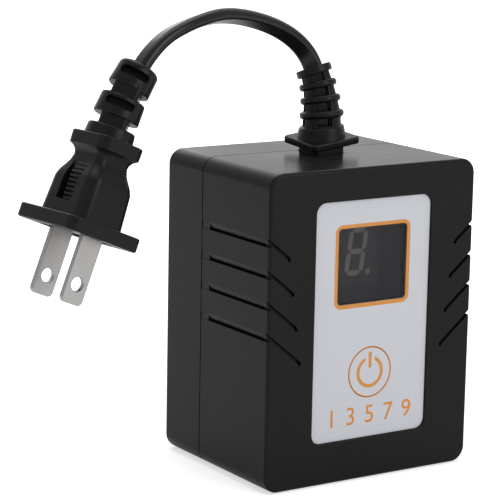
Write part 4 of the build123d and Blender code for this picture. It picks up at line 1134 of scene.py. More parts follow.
@dataclass
class Panel:
    """The white film with its prints, the smoked pane, the key and the row of numerals."""

    rim: float = 0.9
    fit: float = 0.05
    face_corner: float = 1.1
    face_overlap: float = 0.1
    key_way: float = 6.66
    film_edge: float = 0.06
    pane_edge: float = 0.05
    numerals: str = "13579"
    numeral_pitch: float = 5.95
    numeral_x: float = 0.3
    numeral_height: float = 4.7
    numeral_share: float = 0.7  # a numeral's height as a share of its type size
    numeral_z: float = 14.75
    ink_proud: float = 0.02

    def make(self) -> None:
        """Makes the panel's pieces."""
        self.film().finish(FILM, "panel_film", nodes=["panel_film"])
        self.pane().finish(SmokedPane(), "smoked_window", nodes=["display_window"])
        self.key().finish(FILM, "panel_film", body="key", nodes=["key_pad"])
        self.numeral_row().finish(INK, "panel_film")

    def film(self) -> Piece:
        """Makes the film with its openings for the pane and the key.

        Returns:
            The film.
        """
        low, high = node_box("panel_film")
        pane_low, pane_high = node_box("display_window")
        y_from, y_to = low.y - OVER, high.y + OVER
        film = Piece.box("panel_film_printed", low, high).round_along(Axis.Y, FILM_CORNER, segments=10)
        start = (pane_low.x + self.rim - self.fit, y_from, pane_low.z + self.rim - self.fit)
        end = (pane_high.x - self.rim + self.fit, y_to, pane_high.z - self.rim + self.fit)
        film.cut(Piece.box("pane_way", start, end).round_along(Axis.Y, self.face_corner, segments=6))
        key_low, key_high = node_box("key_pad")
        at = (0, (key_low.z + key_high.z) / 2)
        film.cut(Piece.rod("key_way", self.key_way, y_from, y_to, Axis.Y, at, sides=96))
        return film.soften(self.film_edge)

    def pane(self) -> Piece:
        """Makes the smoked pane with its hidden rim.

        Returns:
            The pane.
        """
        low, high = node_box("display_window")
        behind = node_box("panel_film")[1].y
        pane = Piece.box("window_pane", (low.x, behind, low.z), high)
        pane.round_along(Axis.Y, PANE_CORNER, segments=5)
        start = (low.x + self.rim, low.y, low.z + self.rim)
        face = Piece.box("face", start, (high.x - self.rim, behind + self.face_overlap, high.z - self.rim))
        pane.fuse(face.round_along(Axis.Y, self.face_corner, segments=6))
        return pane.soften(self.pane_edge)

    def key(self) -> Piece:
        """Makes the key's disc of film.

        Returns:
            The disc.
        """
        low, high = node_box("key_pad")
        middle = (low + high) / 2
        radius = (high.x - low.x) / 2
        key = Piece.rod("key_disc", radius, low.y, high.y, Axis.Y, (middle.x, middle.z), sides=96)
        return key.round_rim(Axis.Y, [low.y], self.film_edge, segments=2)

    def numeral_row(self) -> Piece:
        """Makes the row of printed numerals under the key.

        Returns:
            The row as one piece.
        """
        front = node_box("panel_film")[0].y
        made = []
        for i, numeral in enumerate(self.numerals):
            Piece.clear()
            bpy.ops.object.text_add()
            text = bpy.context.active_object.data
            text.body = numeral
            text.size = self.numeral_height / self.numeral_share
            text.extrude = self.ink_proud
            text.align_x = "CENTER"
            bpy.ops.object.convert(target="MESH")
            x = self.numeral_x + (i - (len(self.numerals) - 1) / 2) * self.numeral_pitch
            place = Matrix.Translation((x, front, self.numeral_z))
            made.append(Piece("panel_numerals").moved(place @ turned(90, Axis.X)))
        return made[0].join(made[1:])


@dataclass
class ReturnSpring:
    """Coil that holds the outlet's shutter closed; the real coil shortens towards its post as the shutter
    slides, this one is made at one length.
    """

    wire_radius: float = 0.14
    wire_sides: int = 8
    turns: int = 5
    turn_steps: int = 16
    travel: float = 3.2

    def make(self) -> None:
        """Winds the coil in the room of its node."""
        low, high = node_box("shutter_spring")
        middle = (low + high) / 2
        length = high.x - low.x
        coil_radius = (high.z - low.z) / 2 - self.wire_radius
        pitch = (length - 2 * self.wire_radius) / self.turns
        Piece.clear()
        bpy.ops.mesh.primitive_circle_add(vertices=self.wire_sides, radius=self.wire_radius)
        coil = Piece("return_spring").moved(Matrix.Translation((0, coil_radius, 0)))
        coil.apply(
            "SCREW", axis="X", angle=2 * math.pi, iterations=self.turns, screw_offset=pitch,
            steps=self.turn_steps, render_steps=self.turn_steps
        )
        coil.edit(Pick.FACE)
        bpy.ops.mesh.select_all(action="SELECT")
        bpy.ops.mesh.fill_holes(sides=0)
        coil.face_outward().moved(Matrix.Translation((low.x + self.wire_radius, middle.y, middle.z)))
        steel = Metal("spring_steel", (0.55, 0.55, 0.56), roughness=0.3)
        coil.finish(steel, "spring_steel", nodes=["shutter_spring"])
        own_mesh(coil.obj)


@dataclass
class Arch:
    """The upright plane that the grommet, the cord and the plug lie in."""

    bearing: float = 6.5
    foot: Pair = (1.1, 2.3)

    def __post_init__(self) -> None:
        """Works out the plane's directions."""
        angle = math.radians(self.bearing)
        self.outward = Vector((-math.cos(angle), -math.sin(angle), 0))
        self.up = Vector((0, 0, 1))
        self.across = self.up.cross(self.outward)

    def point(self, reach: float, height: float) -> Vector:
        """Gives a point in the plane."""
        return Vector((*self.foot, 0)) + self.outward * reach + self.up * height

    def station(self, reach: float, height: float, lean: float, flip: int = 1) -> Matrix:
        """Gives the frame of a section across the arch.

        Args:
            reach: how far out its middle lies.
            height: how high it lies.
            lean: how far its normal leans outward from upright, in radians.
            flip: 1 for the grommet's side, -1 for the plug's.

        Returns:
            Its frame, with x across the plane and z along the normal.
        """
        normal = self.up * math.cos(lean) + self.outward * math.sin(lean)
        side = self.across * flip
        turn = Matrix((side, normal.cross(side), normal)).transposed().to_4x4()
        return Matrix.Translation(self.point(reach, height)) @ turn


ARCH = Arch()


@dataclass
class Grommet:
    """The moulded bend relief: tilted square flange, neck, and a tail of rings over windows."""

    foot: Pair = (1.5, 2.05)
    top: float = 86.2
    flange: float = 14.9
    flange_thickness: float = 1.9
    flange_corner: float = 1.4
    flange_rim: float = 0.45
    flange_turn: float = 0.5
    tilt_side: float = 7.0
    tilt_front: float = 4.3
    neck: float = 9.0
    neck_corner: float = 1.0
    neck_depth: float = 3.0
    neck_gap: float = 0.9
    lock: float = 12.0
    lock_span: Pair = (4.0, 2.15)
    bore: float = 2.75
    bores: tuple[Pair, ...] = ((-8.0, 7.2), (0.5, 3.6), (6.0, 3.6), (11.0, 3.6), (16.0, 3.6))
    pitch: float = 3.88
    first: float = 1.9
    ring_thickness: float = 1.9
    ring_radii: tuple[float, ...] = (6.0, 5.85, 5.35, 5.0, 4.75)
    ring_tilts: tuple[float, ...] = (6.0, 3.0, 0.0, 0.0, 0.0)
    ring_edge: float = 0.75
    last_edge: float = 0.2
    collar: Pair = (6.5, 6.1)
    collar_depth: float = 1.2
    straight: float = 3.0
    bend: float = 34.0
    length: float = 18.6
    sway: float = 4.0
    sway_bearing: float = 33.0
    windows: int = 4
    window: float = 4.0
    window_overlap: float = 0.15
    window_span: Pair = (2.15, 9.0)
    window_turn: float = -31.5
    tube_inset: float = 0.75
    edge: float = 0.1
    sides: int = 72

    def make(self) -> None:
        """Makes the grommet."""
        self.body().finish(BLACK_VINYL, "grommet_vinyl", nodes=["cord_grommet"])

    def aside(self) -> Vector:
        """Gives the level direction in which the tail sways."""
        angle = math.radians(self.sway_bearing)
        return Vector((math.sin(angle), math.cos(angle), 0))

    def station(self, along: float) -> Matrix:
        """Gives a section's frame: upright at first, then bending over and swaying aside.

        Args:
            along: its length above the flange.

        Returns:
            Its frame, with x across the arch and z along the tail.
        """
        base = ARCH.station(0, self.top + along, 0)
        if along > self.straight:
            turn = (along - self.straight) / self.bend
            reach = self.bend * (1 - math.cos(turn))
            base = ARCH.station(reach, self.top + self.straight + self.bend * math.sin(turn), turn)
        share = max(along, 0) / self.length
        normal = base.col[2].xyz
        swayed = normal + self.aside() * (2 * self.sway * share / self.length)
        lean = normal.rotation_difference(swayed).to_matrix().to_4x4()
        shift = Vector((self.foot[0] - ARCH.foot[0], self.foot[1] - ARCH.foot[1], 0))
        place = base.translation + shift + self.aside() * (self.sway * share ** 2)
        return Matrix.Translation(place) @ lean @ base.to_3x3().to_4x4()

    def ring(self, index: int) -> Piece:
        """Makes one ring with rounded rims.

        Args:
            index: its number, counted from the housing.

        Returns:
            The ring.
        """
        half = self.ring_thickness / 2
        last = index == len(self.ring_radii) - 1
        ring = Piece.rod("ring", self.ring_radii[index], -half, half, sides=self.sides)
        ring.round_rim(Axis.Z, [-half, half], self.last_edge if last else self.ring_edge, segments=4)
        place = self.station(self.first + index * self.pitch)
        return ring.moved(place @ turned(self.ring_tilts[index], Axis.X))

    def stretch(self, index: int) -> Piece:
        """Makes the tube between two rings, with the windows in it.

        Args:
            index: number of the ring under it.

        Returns:
            The tube.
        """
        low, high = (radius - self.tube_inset for radius in self.ring_radii[index:index + 2])
        half = self.pitch / 2
        tube = Piece.rod("stretch", low, -half, half, tip_radius=high, sides=self.sides)
        gap = (self.pitch - self.ring_thickness) / 2 + self.window_overlap
        x_from, x_to = self.window_span
        for i in range(self.windows):
            window = Piece.box("window", (x_from, -self.window / 2, -gap), (x_to, self.window / 2, gap))
            tube.cut(window.moved(turned(self.window_turn + 360 / self.windows * i, Axis.Z)))
        return tube.moved(self.station(self.first + (index + 0.5) * self.pitch))

    def flange_plate(self) -> Piece:
        """Makes the square flange, tilted as it sits on the housing.

        Returns:
            The flange.
        """
        half, bottom = self.flange / 2, -self.flange_thickness
        plate = Piece.block("grommet_relief", half, half, bottom, 0)
        plate.round_along(Axis.Z, self.flange_corner, segments=6)
        plate.round_rim(Axis.Z, [0, bottom], self.flange_rim, segments=3)
        tilt = turned(self.tilt_front, Axis.X) @ turned(-self.tilt_side, Axis.Y)
        tilt = tilt @ turned(self.flange_turn, Axis.Z)
        return plate.moved(Matrix.Translation((*self.foot, self.top)) @ tilt)

    def upright_block(self, name: str, width: float, low: float, high: float) -> Piece:
        """Makes one rounded square length of the neck.

        Args:
            name: name of the piece.
            width: its width.
            low: its lowest z.
            high: its highest z.

        Returns:
            The piece.
        """
        x, y = self.foot
        half = width / 2
        block = Piece.box(name, (x - half, y - half, low), (x + half, y + half, high))
        return block.round_along(Axis.Z, self.neck_corner, segments=4)

    def body(self) -> Piece:
        """Makes the whole grommet and cuts its bore.

        Returns:
            The grommet.
        """
        roof = node_box("rear_shell")[1].z
        wide, narrow = self.collar
        collar_from, collar_to = self.top - self.collar_depth, self.top + self.first
        lock_from, lock_to = (roof - depth for depth in self.lock_span)
        rings = range(len(self.ring_radii))
        grommet = self.flange_plate()
        grommet.fuse(
            self.upright_block("neck", self.neck, roof - self.neck_depth, self.top - self.neck_gap),
            self.upright_block("lock", self.lock, lock_from, lock_to),
            Piece.rod(
                "collar", wide, collar_from, collar_to, at=self.foot, tip_radius=narrow, sides=self.sides
            ),
        )
        for index in rings[:-1]:
            grommet.fuse(self.stretch(index))
        for index in rings:
            grommet.fuse(self.ring(index))
        for along, half in self.bores:
            bore = Piece.rod("bore", self.bore, -half, half, sides=40)
            grommet.cut(bore.moved(self.station(along)))
        return grommet.soften(self.edge, angle=50)


@dataclass
class Cord:
    """The short flat twin cord: its route, its free stretch and what shows inside the grommet."""

    grommet: Grommet
    plug: "Plug"
    width: float = 5.2
    thickness: float = 3.4
    length: float = 67.1
    first_run: float = 4.7
    last_run: float = 7.8
    route: tuple[Corner, ...] = ((15.4, 115.2, 6.0), (31.1, 119.3, 3.0), (42.3, 118.0, 0.5))
    fineness: int = 24
    held_steps: int = 40
    sides: int = 12
    half_wrap: float = 68.0
    roll: float = 50.0

    def points(self) -> list[Vector]:
        """Lays out the free cord's route.

        Returns:
            Its control points, from the grommet to the plug.
        """
        start = self.grommet.station(self.grommet.length)
        end = self.plug.station(self.plug.length)
        aside = self.grommet.aside()
        middle = [ARCH.point(reach, height) + aside * sway for reach, height, sway in self.route]
        first, last = start.translation, end.translation
        leaving = first + start.col[2].xyz * self.first_run
        arriving = last + end.col[2].xyz * self.last_run
        return [first, leaving, *middle, arriving, last]

    def line(self) -> list[Vector]:
        """Reads the smooth line of the route from its spline.

        Returns:
            Points close together on the line.
        """
        points = self.points()
        curve = bpy.data.curves.new("route", "CURVE")
        curve.dimensions = "3D"
        curve.resolution_u = self.fineness
        spline = curve.splines.new("NURBS")
        spline.points.add(len(points) - 1)
        for knot, point in zip(spline.points, points):
            knot.co = (*point, 1)
        spline.order_u = 3
        spline.use_endpoint_u = True
        holder = in_scene("route", curve)
        found = [vertex.co.copy() for vertex in bpy.data.meshes.new_from_object(holder).vertices]
        bpy.data.objects.remove(holder)
        return found

    def section(self) -> list[Pair]:
        """Gives the outline of two round cores side by side under one sheath.

        Returns:
            Its points as distances across and through the cord.
        """
        radius = self.thickness / 2
        offset = self.width / 2 - radius
        outline = []
        for side, start in ((1, 0.0), (-1, math.pi)):
            for i in range(self.sides + 1):
                angle = math.radians(self.half_wrap * (2 * i / self.sides - 1)) + start
                outline.append((side * offset + radius * math.cos(angle), radius * math.sin(angle)))
        return outline

    def tube(self, name: str, line: list[Vector], rolls: list[float]) -> Piece:
        """Sweeps the section along a line.

        Args:
            name: name of the piece.
            line: points on the line.
            rolls: how far the flat cord is rolled about the line at each point, in degrees.

        Returns:
            The piece.
        """
        outline = self.section()
        count, last = len(outline), len(line) - 1
        vertices = []
        for i, point in enumerate(line):
            tangent = (line[min(i + 1, last)] - line[max(i - 1, 0)]).normalized()
            flat = (ARCH.across - tangent * ARCH.across.dot(tangent)).normalized()
            wide = Matrix.Rotation(math.radians(rolls[i]), 3, tangent) @ flat
            thin = tangent.cross(wide)
            vertices += [point + wide * a + thin * b for a, b in outline]
        faces = []
        for i in range(last):
            for j in range(count):
                k = (j + 1) % count
                faces.append((i * count + j, i * count + k, (i + 1) * count + k, (i + 1) * count + j))
        faces.append(tuple(reversed(range(count))))
        faces.append(tuple(last * count + j for j in range(count)))
        mesh = bpy.data.meshes.new(name)
        mesh.from_pydata(vertices, [], faces)
        bpy.context.view_layer.objects.active = in_scene(name, mesh)
        return Piece(name).edit(Pick.FACE).face_outward()

    def make(self, on_it: list[bpy.types.Object]) -> None:
        """Makes the free cord and the stretch in the grommet.

        Args:
            on_it: not used.
        """
        line = self.line()
        rolls = [self.roll * (1 - i / (len(line) - 1)) for i in range(len(line))]
        free = self.tube("free_cord", line, rolls).finish(CORD_VINYL, "cord_vinyl", nodes=["power_cord"])
        metres = [point * MM for point in line]
        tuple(metres[0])
        bottom = node_box("cord_in_grommet")[0].z - self.grommet.top
        span = self.grommet.length - bottom
        shares = [i / self.held_steps for i in range(self.held_steps + 1)]
        inside = [self.grommet.station(bottom + span * share).translation for share in shares]
        held = self.tube("cord_in_relief", inside, [self.roll] * len(inside))
        held.finish(CORD_VINYL, "cord_vinyl", nodes=["cord_in_grommet"])


@dataclass
class Plug:
    """The moulded plug: flange, grip, waist and collar, a slotted tail, and two blades."""

    reach: float = 77.8
    height: float = 67.9
    lean: float = 22.6
    bend_start: float = 26.0
    bend: float = 68.0
    length: float = 43.9
    flange: Pair = (24.3, 21.9)
    flange_thickness: float = 3.6
    flange_radius: float = 2.5
    rim: float = 0.5
    edge: float = 0.16
    stations: tuple[Corner, ...] = (
        (3.0, 18.4, 14.6), (12.6, 17.4, 13.8), (14.2, 16.4, 12.9), (15.6, 14.7, 11.6), (17.0, 13.1, 10.5),
        (18.6, 12.2, 9.8), (19.6, 12.5, 10.1), (20.5, 13.6, 11.1), (21.2, 15.6, 13.0), (24.5, 15.8, 13.2)
    )
    body_corner: float = 3.2
    face_margin: float = 4.2
    face_radius: float = 1.5
    insert_sink: float = 0.4
    insert_depth: float = 5.6
    insert_edge: float = 0.15
    fit: float = 0.05
    grip: Pair = (6.9, 18.4)
    grip_width: float = 6.2
    grip_depth: float = 1.9
    grip_corner: float = 0.6
    ribs: int = 10
    rib: float = 0.55
    rib_step: float = 0.6
    rib_end: float = 1.2
    blocks: tuple[Corner, ...] = ((24.0, 27.4, 6.1), (29.7, 35.1, 5.75), (37.4, 43.9, 5.3))
    block_taper: float = 0.15
    block_foot: float = 0.4
    block_edges: Corner = (0.5, 0.5, 1.1)
    neck_radius: float = 3.5
    neck_half: float = 5.0
    neck_corner: float = 1.2
    neck_overlap: float = 0.8
    slots: Pair = (32.9, 40.9)
    slot_height: float = 2.2
    slot_half: float = 3.7
    slot_reach: float = 9.0
    slot_round: float = 0.8
    web: float = 1.6
    tail_turn: float = -40.0
    blade_spacing: float = 12.7
    blade: Corner = (1.5, 6.3, 16.5)
    blade_root: float = 5.0
    blade_edge: float = 0.28
    tip_radius: float = 1.4
    tip_zone: float = 1.0
    hole_radius: float = 1.8
    hole_inset: float = 5.0
    hole_half: float = 4.0

    def station(self, along: float) -> Matrix:
        """Gives a section's frame: straight at first, then bending over.

        Args:
            along: its height above the blade-side face.

        Returns:
            Its frame, with x across the arch and z along the plug.
        """
        lean = math.radians(self.lean)
        straight = min(along, self.bend_start)
        turn = max(along - self.bend_start, 0) / self.bend
        reach = self.reach - straight * math.sin(lean)
        reach -= self.bend * (math.cos(lean) - math.cos(lean + turn))
        height = self.height + straight * math.cos(lean)
        height += self.bend * (math.sin(lean + turn) - math.sin(lean))
        return ARCH.station(reach, height, -(lean + turn), -1)

    def make(self) -> list[bpy.types.Object]:
        """Makes the plug's pieces.

        Returns:
            Their objects.
        """
        along_blade = tuple(self.station(0).to_euler())
        nickel = Metal("blade_nickel", (0.5, 0.49, 0.48), roughness=0.36, turn=along_blade)
        pieces = [
            self.body().finish(BLACK_VINYL, "plug_vinyl", nodes=["plug_body"]),
            self.insert().finish(BLACK_ABS, "plug_insert", nodes=["plug_insert"]),
        ]
        blades = (("blade_left", -1, "plug_blade_line"), ("blade_right", 1, "plug_blade_neutral"))
        for name, side, node in blades:
            pieces.append(self.contact_blade(name, side).finish(nickel, "blade_nickel", nodes=[node]))
        return [piece.obj for piece in pieces]

    def body(self) -> Piece:
        """Makes the moulded body with its tail.

        Returns:
            The body.
        """
        half_x, half_y = self.flange[0] / 2, self.flange[1] / 2
        body = Piece.block("plug_moulding", half_x, half_y, 0, self.flange_thickness)
        body.round_along(Axis.Z, self.flange_radius)
        body.round_rim(Axis.Z, [0, self.flange_thickness], self.rim, segments=3)
        body.fuse(self.grip_body())
        for side in SIDES:
            body.cut(self.grip_recess(side))
        hollow_x, hollow_y = half_x - self.face_margin, half_y - self.face_margin
        hollow = Piece.block("face_hollow", hollow_x, hollow_y, -OVER, self.insert_depth)
        body.cut(hollow.round_along(Axis.Z, self.face_radius, segments=6))
        body.moved(self.station(0)).fuse(self.tail())
        return body.soften(self.edge, angle=45)

    def grip_body(self) -> Piece:
        """Makes the grip, shoulder, waist and collar by extruding one section from station to station.

        Returns:
            The grip.
        """
        start, width, depth = self.stations[0]
        second = self.stations[1][0]
        grip = Piece.block("grip", width / 2, depth / 2, start, second).round_along(Axis.Z, self.body_corner)
        for (z, w, d), (next_z, next_w, next_d) in zip(self.stations, self.stations[1:]):
            if next_z == second:
                grip.pick_top(next_z)
            else:
                grip.pick_top(z)
                bpy.ops.mesh.extrude_region_move(TRANSFORM_OT_translate={"value": (0, 0, next_z - z)})
            bpy.ops.transform.resize(value=(next_w / w, next_d / d, 1), center_override=(0, 0, next_z))
            grip.leave()
        return grip.round_rim(Axis.Z, [self.stations[-1][0]], self.rim, segments=3)

    def grip_recess(self, side: int) -> Piece:
        """Makes the tool that cuts one grip recess and leaves its ribs.

        Args:
            side: -1 or 1.

        Returns:
            The tool.
        """
        low, high = self.grip
        face = (self.stations[0][2] + self.stations[1][2]) / 4
        floor = side * (face - self.grip_depth)
        y_from, y_to = sorted((floor, side * self.flange[1]))
        half = self.grip_width / 2
        tool = Piece.box("recess", (-half, y_from, low), (half, y_to, high))
        tool.round_along(Axis.Y, self.grip_corner, segments=3)
        pitch = (high - low) / self.ribs
        rib_from, rib_to = sorted((floor - side * OVER, side * (face - self.rib_step)))
        for i in range(self.ribs):
            z = low + (i + 0.5) * pitch
            start = (-half - OVER, rib_from, z - self.rib / 2)
            tool.cut(Piece.box("rib", start, (self.rib_end, rib_to, z + self.rib / 2)))
        return tool

    def tail(self) -> Piece:
        """Makes the slotted tail, block by block along its bend.

        Returns:
            The tail.
        """
        turn = turned(self.tail_turn, Axis.Z)
        made = []
        for (low, high, radius), edge in zip(self.blocks, self.block_edges):
            half, middle = (high - low) / 2, (low + high) / 2
            foot, tip = radius + self.block_taper, radius - self.block_taper
            block = Piece.rod("tail_block", foot, -half, half, tip_radius=tip)
            block.round_rim(Axis.Z, [-half], self.block_foot, segments=3)
            block.round_rim(Axis.Z, [half], edge, segments=5)
            for slot in self.slots:
                if low < slot < high:
                    block.cut(*self.slot_tools(slot - middle))
            made.append(block.moved(self.station(middle) @ turn))
        for low, high in zip(self.blocks, self.blocks[1:]):
            neck = self.neck_bar((high[0] - low[1]) / 2 + self.neck_overlap)
            made.append(neck.moved(self.station((low[1] + high[0]) / 2) @ turn))
        first, *others = made
        first.obj.name = "tail"
        return first.fuse(*others)

    def neck_bar(self, reach: float) -> Piece:
        """Makes the flat bar that joins two blocks, from its half length."""
        bar = Piece.block("neck_bar", self.neck_half, self.neck_radius, -reach, reach)
        return bar.round_along(Axis.Z, self.neck_corner, segments=4)

    def slot_tools(self, z: float) -> list[Piece]:
        """Makes the two tools that cut a slot into a block from both sides.

        Args:
            z: the slot's height in the block.

        Returns:
            The tools.
        """
        tools = []
        half = self.slot_height / 2
        for side in SIDES:
            x_from, x_to = sorted((side * self.web, side * self.slot_reach))
            tool = Piece.box("slot", (x_from, -self.slot_half, z - half), (x_to, self.slot_half, z + half))
            tools.append(tool.round_along(Axis.X, half * self.slot_round, segments=4))
        return tools

    def insert(self) -> Piece:
        """Makes the hard face that holds the blades.

        Returns:
            The insert.
        """
        half_x, half_y = (size / 2 - self.face_margin - self.fit for size in self.flange)
        top = self.insert_depth - self.fit
        insert = Piece.block("plug_face", half_x, half_y, self.insert_sink, top)
        insert.round_along(Axis.Z, self.face_radius, segments=6)
        a, b = self.blade[0] / 2 + self.fit, self.blade[1] / 2 + self.fit
        for side in SIDES:
            x = side * self.blade_spacing / 2
            end = (x + a, b, self.blade_root + 2 * self.fit)
            insert.cut(Piece.box("blade_way", (x - a, -b, -OVER), end))
        return insert.soften(self.insert_edge).moved(self.station(0))

    def contact_blade(self, name: str, side: int) -> Piece:
        """Makes one blade with its rounded tip and its hole.

        Args:
            name: name of the piece.
            side: -1 or 1.

        Returns:
            The blade.
        """
        thick, wide, long = self.blade
        tip = self.tip_zone - long
        blade = Piece.block(name, thick / 2, wide / 2, -long, self.blade_root)
        blade.pick_edges(lambda a, b: a.z < tip and b.z < tip and abs(a.y - b.y) < CLOSE)
        blade.bevel(self.tip_radius, segments=8)
        hole_at = (0, self.hole_inset - long)
        blade.cut(Piece.rod("hole", self.hole_radius, -self.hole_half, self.hole_half, Axis.X, hole_at))
        blade.soften(self.blade_edge, segments=3)
        return blade.moved(self.station(0) @ Matrix.Translation((side * self.blade_spacing / 2, 0, 0)))


@dataclass
class PhotoCamera:
    """The camera that took the photograph, in pixels and millimetres."""

    yaw: float = 33.06
    pitch: float = 11.10
    roll: float = 1.093
    focal: float = 2105.7
    across: float = 17.079
    above: float = -54.930
    distance: float = 569.42
    frame_width: float = 500.0
    sensor: float = 36.0
    clip_start: float = 0.05

    def make(self) -> None:
        """Makes the camera and gives it to the scene."""
        yaw, pitch, roll = (math.radians(v) for v in (self.yaw, self.pitch, self.roll))
        flat = math.cos(pitch)
        forward = Vector((math.sin(yaw) * flat, math.cos(yaw) * flat, -math.sin(pitch)))
        level = forward.cross(Vector((0, 0, 1))).normalized()
        upright = level.cross(forward)
        right = level * math.cos(roll) + upright * math.sin(roll)
        up = upright * math.cos(roll) - level * math.sin(roll)
        place = -(right * self.across + up * self.above + forward * self.distance) * MM
        lens = bpy.data.cameras.new("photo_camera")
        lens.sensor_width = self.sensor
        lens.lens = self.focal * self.sensor / self.frame_width
        lens.clip_start = self.clip_start
        camera = in_scene("photo_camera", lens)
        turn = Matrix((right, up, -forward)).transposed().to_4x4()
        camera.matrix_world = Matrix.Translation(place) @ turn
        bpy.context.scene.camera = camera


@dataclass(frozen=True)
class Lamp:
    """A square soft lamp: where it hangs, the point it faces, its side in metres and its power in watts."""

    name: str
    place: Corner
    target: Corner
    size: float
    power: float

    def make(self) -> None:
        """Hangs the lamp."""
        light = bpy.data.lights.new(self.name, "AREA")
        light.size = self.size
        light.energy = self.power
        lamp = in_scene(self.name, light)
        lamp.location = self.place
        lamp.rotation_euler = (Vector(self.target) - Vector(self.place)).to_track_quat("-Z", "Y").to_euler()


@dataclass
class Studio:
    """White floor, white surroundings and soft lamps."""

    floor_size: float = 6.0
    floor_drop: float = 0.0002
    floor_colour: float = 0.8
    floor_glow: Pair = (0.58, 1.0)
    glow_reach: Pair = (0.08, 0.4)
    mirrored_glow: float = 0.32
    world_light: float = 0.5
    room_light: float = 0.4
    backdrop_way: Corner = (0.54, 0.82, 0.19)
    backdrop_edge: Pair = (0.3, 0.8)
    white: tuple[float, ...] = (1, 1, 1, 1)
    lamps: tuple[Lamp, ...] = (
        Lamp("top_softbox", (0.05, 0.1, 0.8), (0, 0, 0.04), 0.7, 3.0),
        Lamp("front_softbox", (0.3, -0.8, 0.4), (0, 0, 0.05), 0.5, 2.3),
        Lamp("left_softbox", (-0.8, -0.1, 0.4), (-0.02, 0, 0.06), 0.5, 0.25),
        Lamp("rear_softbox", (0.25, 0.95, 0.5), (0, 0, 0.06), 0.5, 0.8),
    )

    def make(self) -> None:
        """Makes the stage, the lamps and the plain view settings."""
        bpy.context.scene.view_settings.view_transform = "Standard"
        self.floor()
        self.surroundings()
        for lamp in self.lamps:
            lamp.make()

    @staticmethod
    def seen_directly(desk: ShaderDesk, mirrored: "Wire | float") -> Wire:
        """Gives how much of the white background a ray sees.

        Args:
            desk: the desk to build on.
            mirrored: what a mirrored ray sees of it.

        Returns:
            1 for a camera ray and one through a pane, the mirrored share, or 0 for diffuse light.
        """
        rays = ("Is Camera Ray", "Is Glossy Ray", "Is Transmission Ray")
        camera, glossy, through = (desk.node("ShaderNodeLightPath", {}, {}, ray) for ray in rays)
        return camera.most(glossy * mirrored).most(through)

    def floor(self) -> None:
        """Makes the floor, white where it is seen apart from the shadow on it."""
        Piece.clear()
        bpy.ops.mesh.primitive_plane_add(size=self.floor_size, location=(0, 0, -self.floor_drop))
        floor = bpy.context.active_object
        floor.name = "floor"
        desk = ShaderDesk(bpy.data.materials.new("white_floor"))
        away = desk.node("ShaderNodeVectorMath", {"operation": "LENGTH"}, {0: desk.place()}, "Value")
        glow = away.mapped(self.glow_reach, self.floor_glow) * self.seen_directly(desk, self.mirrored_glow)
        lit = desk.node("ShaderNodeBsdfDiffuse", {}, {"Color": (*[self.floor_colour] * 3, 1.0)})
        glowing = desk.node("ShaderNodeEmission", {}, {"Color": self.white, "Strength": glow})
        desk.end("ShaderNodeOutputMaterial", desk.node("ShaderNodeAddShader", {}, {0: lit, 1: glowing}))
        floor.data.materials.append(desk.owner)

    def surroundings(self) -> None:
        """Makes the world white where it is seen, softer where it lights, and dimmer in most mirrors."""
        world = bpy.data.worlds.new("white_room")
        bpy.context.scene.world = world
        desk = ShaderDesk(world)
        way = desk.node("ShaderNodeTexCoord", {}, {}, "Generated")
        sockets = {0: way, 1: self.backdrop_way}
        ahead = desk.node("ShaderNodeVectorMath", {"operation": "DOT_PRODUCT"}, sockets, "Value")
        mirrored = ahead.mapped(self.backdrop_edge, (self.room_light, 1.0))
        strength = self.seen_directly(desk, mirrored).most(self.world_light)
        background = desk.node("ShaderNodeBackground", {}, {"Color": self.white, "Strength": strength})
        desk.end("ShaderNodeOutputWorld", background)


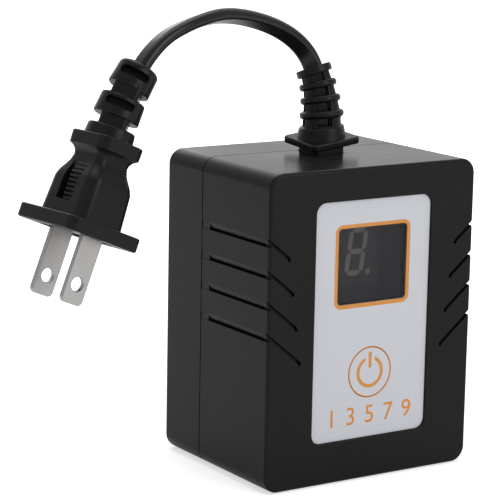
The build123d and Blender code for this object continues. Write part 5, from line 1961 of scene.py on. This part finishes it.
class Works:
    """The pieces inside, which stay as the frame has them and get their finishes here."""

    def make(self) -> None:
        """Dresses every node of the frame that still shows."""
        finishes = self.finishes()
        for name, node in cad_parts.items():
            if node.hide_render:
                continue
            finish = finishes[name]
            node.data.materials.clear()
            node.data.materials.append(finish.material())
            LOG.info("%s dressed as %s", name, finish.name)

    @staticmethod
    def finishes() -> dict[str, Finish]:
        """Chooses a finish for each remaining node.

        Returns:
            The finish by the node's name.
        """
        groups = {
            Moulding("dark_moulding", (0.02, 0.02, 0.02), roughness=0.5):
                "switch_stem key_switch rectifier microcontroller",
            Moulding("white_moulding", (0.7, 0.7, 0.67), roughness=0.45):
                "key_plunger relay_bobbin contact_carrier shutter",
            Metal("contact_brass", (0.7, 0.52, 0.24)):
                "relay_moving_blade relay_fixed_contact line_contact neutral_contact",
            Metal("tinned_copper", (0.66, 0.65, 0.62)): "display_pins crystal",
            Metal("soft_iron", (0.45, 0.45, 0.46), roughness=0.4): "relay_yoke relay_core relay_armature",
            Moulding("core_vinyl", (0.25, 0.25, 0.26), roughness=0.45):
                "line_lead_in neutral_lead_in line_lead_out neutral_lead_out",
            Moulding("relay_blue", (0.03, 0.08, 0.26), roughness=0.35): "relay_base relay_cover",
            SCREW_STEEL: "board_screws carrier_screws",
            Moulding("board_laminate", (0.045, 0.045, 0.052), roughness=0.4, mottle=0.3): "main_board",
            Moulding("display_case", (0.045, 0.042, 0.046), roughness=0.55): "display_module",
            Moulding("display_bars", (0.34, 0.3, 0.28), roughness=0.5): "display_segments",
            Metal("copper_wire", (0.6, 0.25, 0.12), roughness=0.3, streaks=(0.3, 0.3, 12.0)):
                "relay_winding",
            Moulding("film_yellow", (0.5, 0.33, 0.04), roughness=0.4): "film_capacitor",
            Moulding("can_sleeve", (0.02, 0.02, 0.035), roughness=0.25): "smoothing_capacitor",
            Moulding("varistor_blue", (0.03, 0.09, 0.3), roughness=0.5): "varistor",
            Moulding("fuse_tube", (0.5, 0.5, 0.47), roughness=0.15): "fuse",
            Moulding("resistor_coat", (0.5, 0.36, 0.2), roughness=0.5): "resistors",
        }
        return {name: finish for finish, names in groups.items() for name in names.split()}


def main() -> None:
    """Builds the camera, the cord, the rest of the object and the studio, in that order."""
    logging.basicConfig(level=logging.INFO, format="%(name)s: %(message)s")
    PhotoCamera().make()
    grommet = Grommet()
    plug = Plug()
    Cord(grommet, plug).make(plug.make())
    grommet.make()
    Housing(grommet).make()
    Panel().make()
    ReturnSpring().make()
    Works().make()
    Studio().make()


if __name__ == "__main__":
    main()
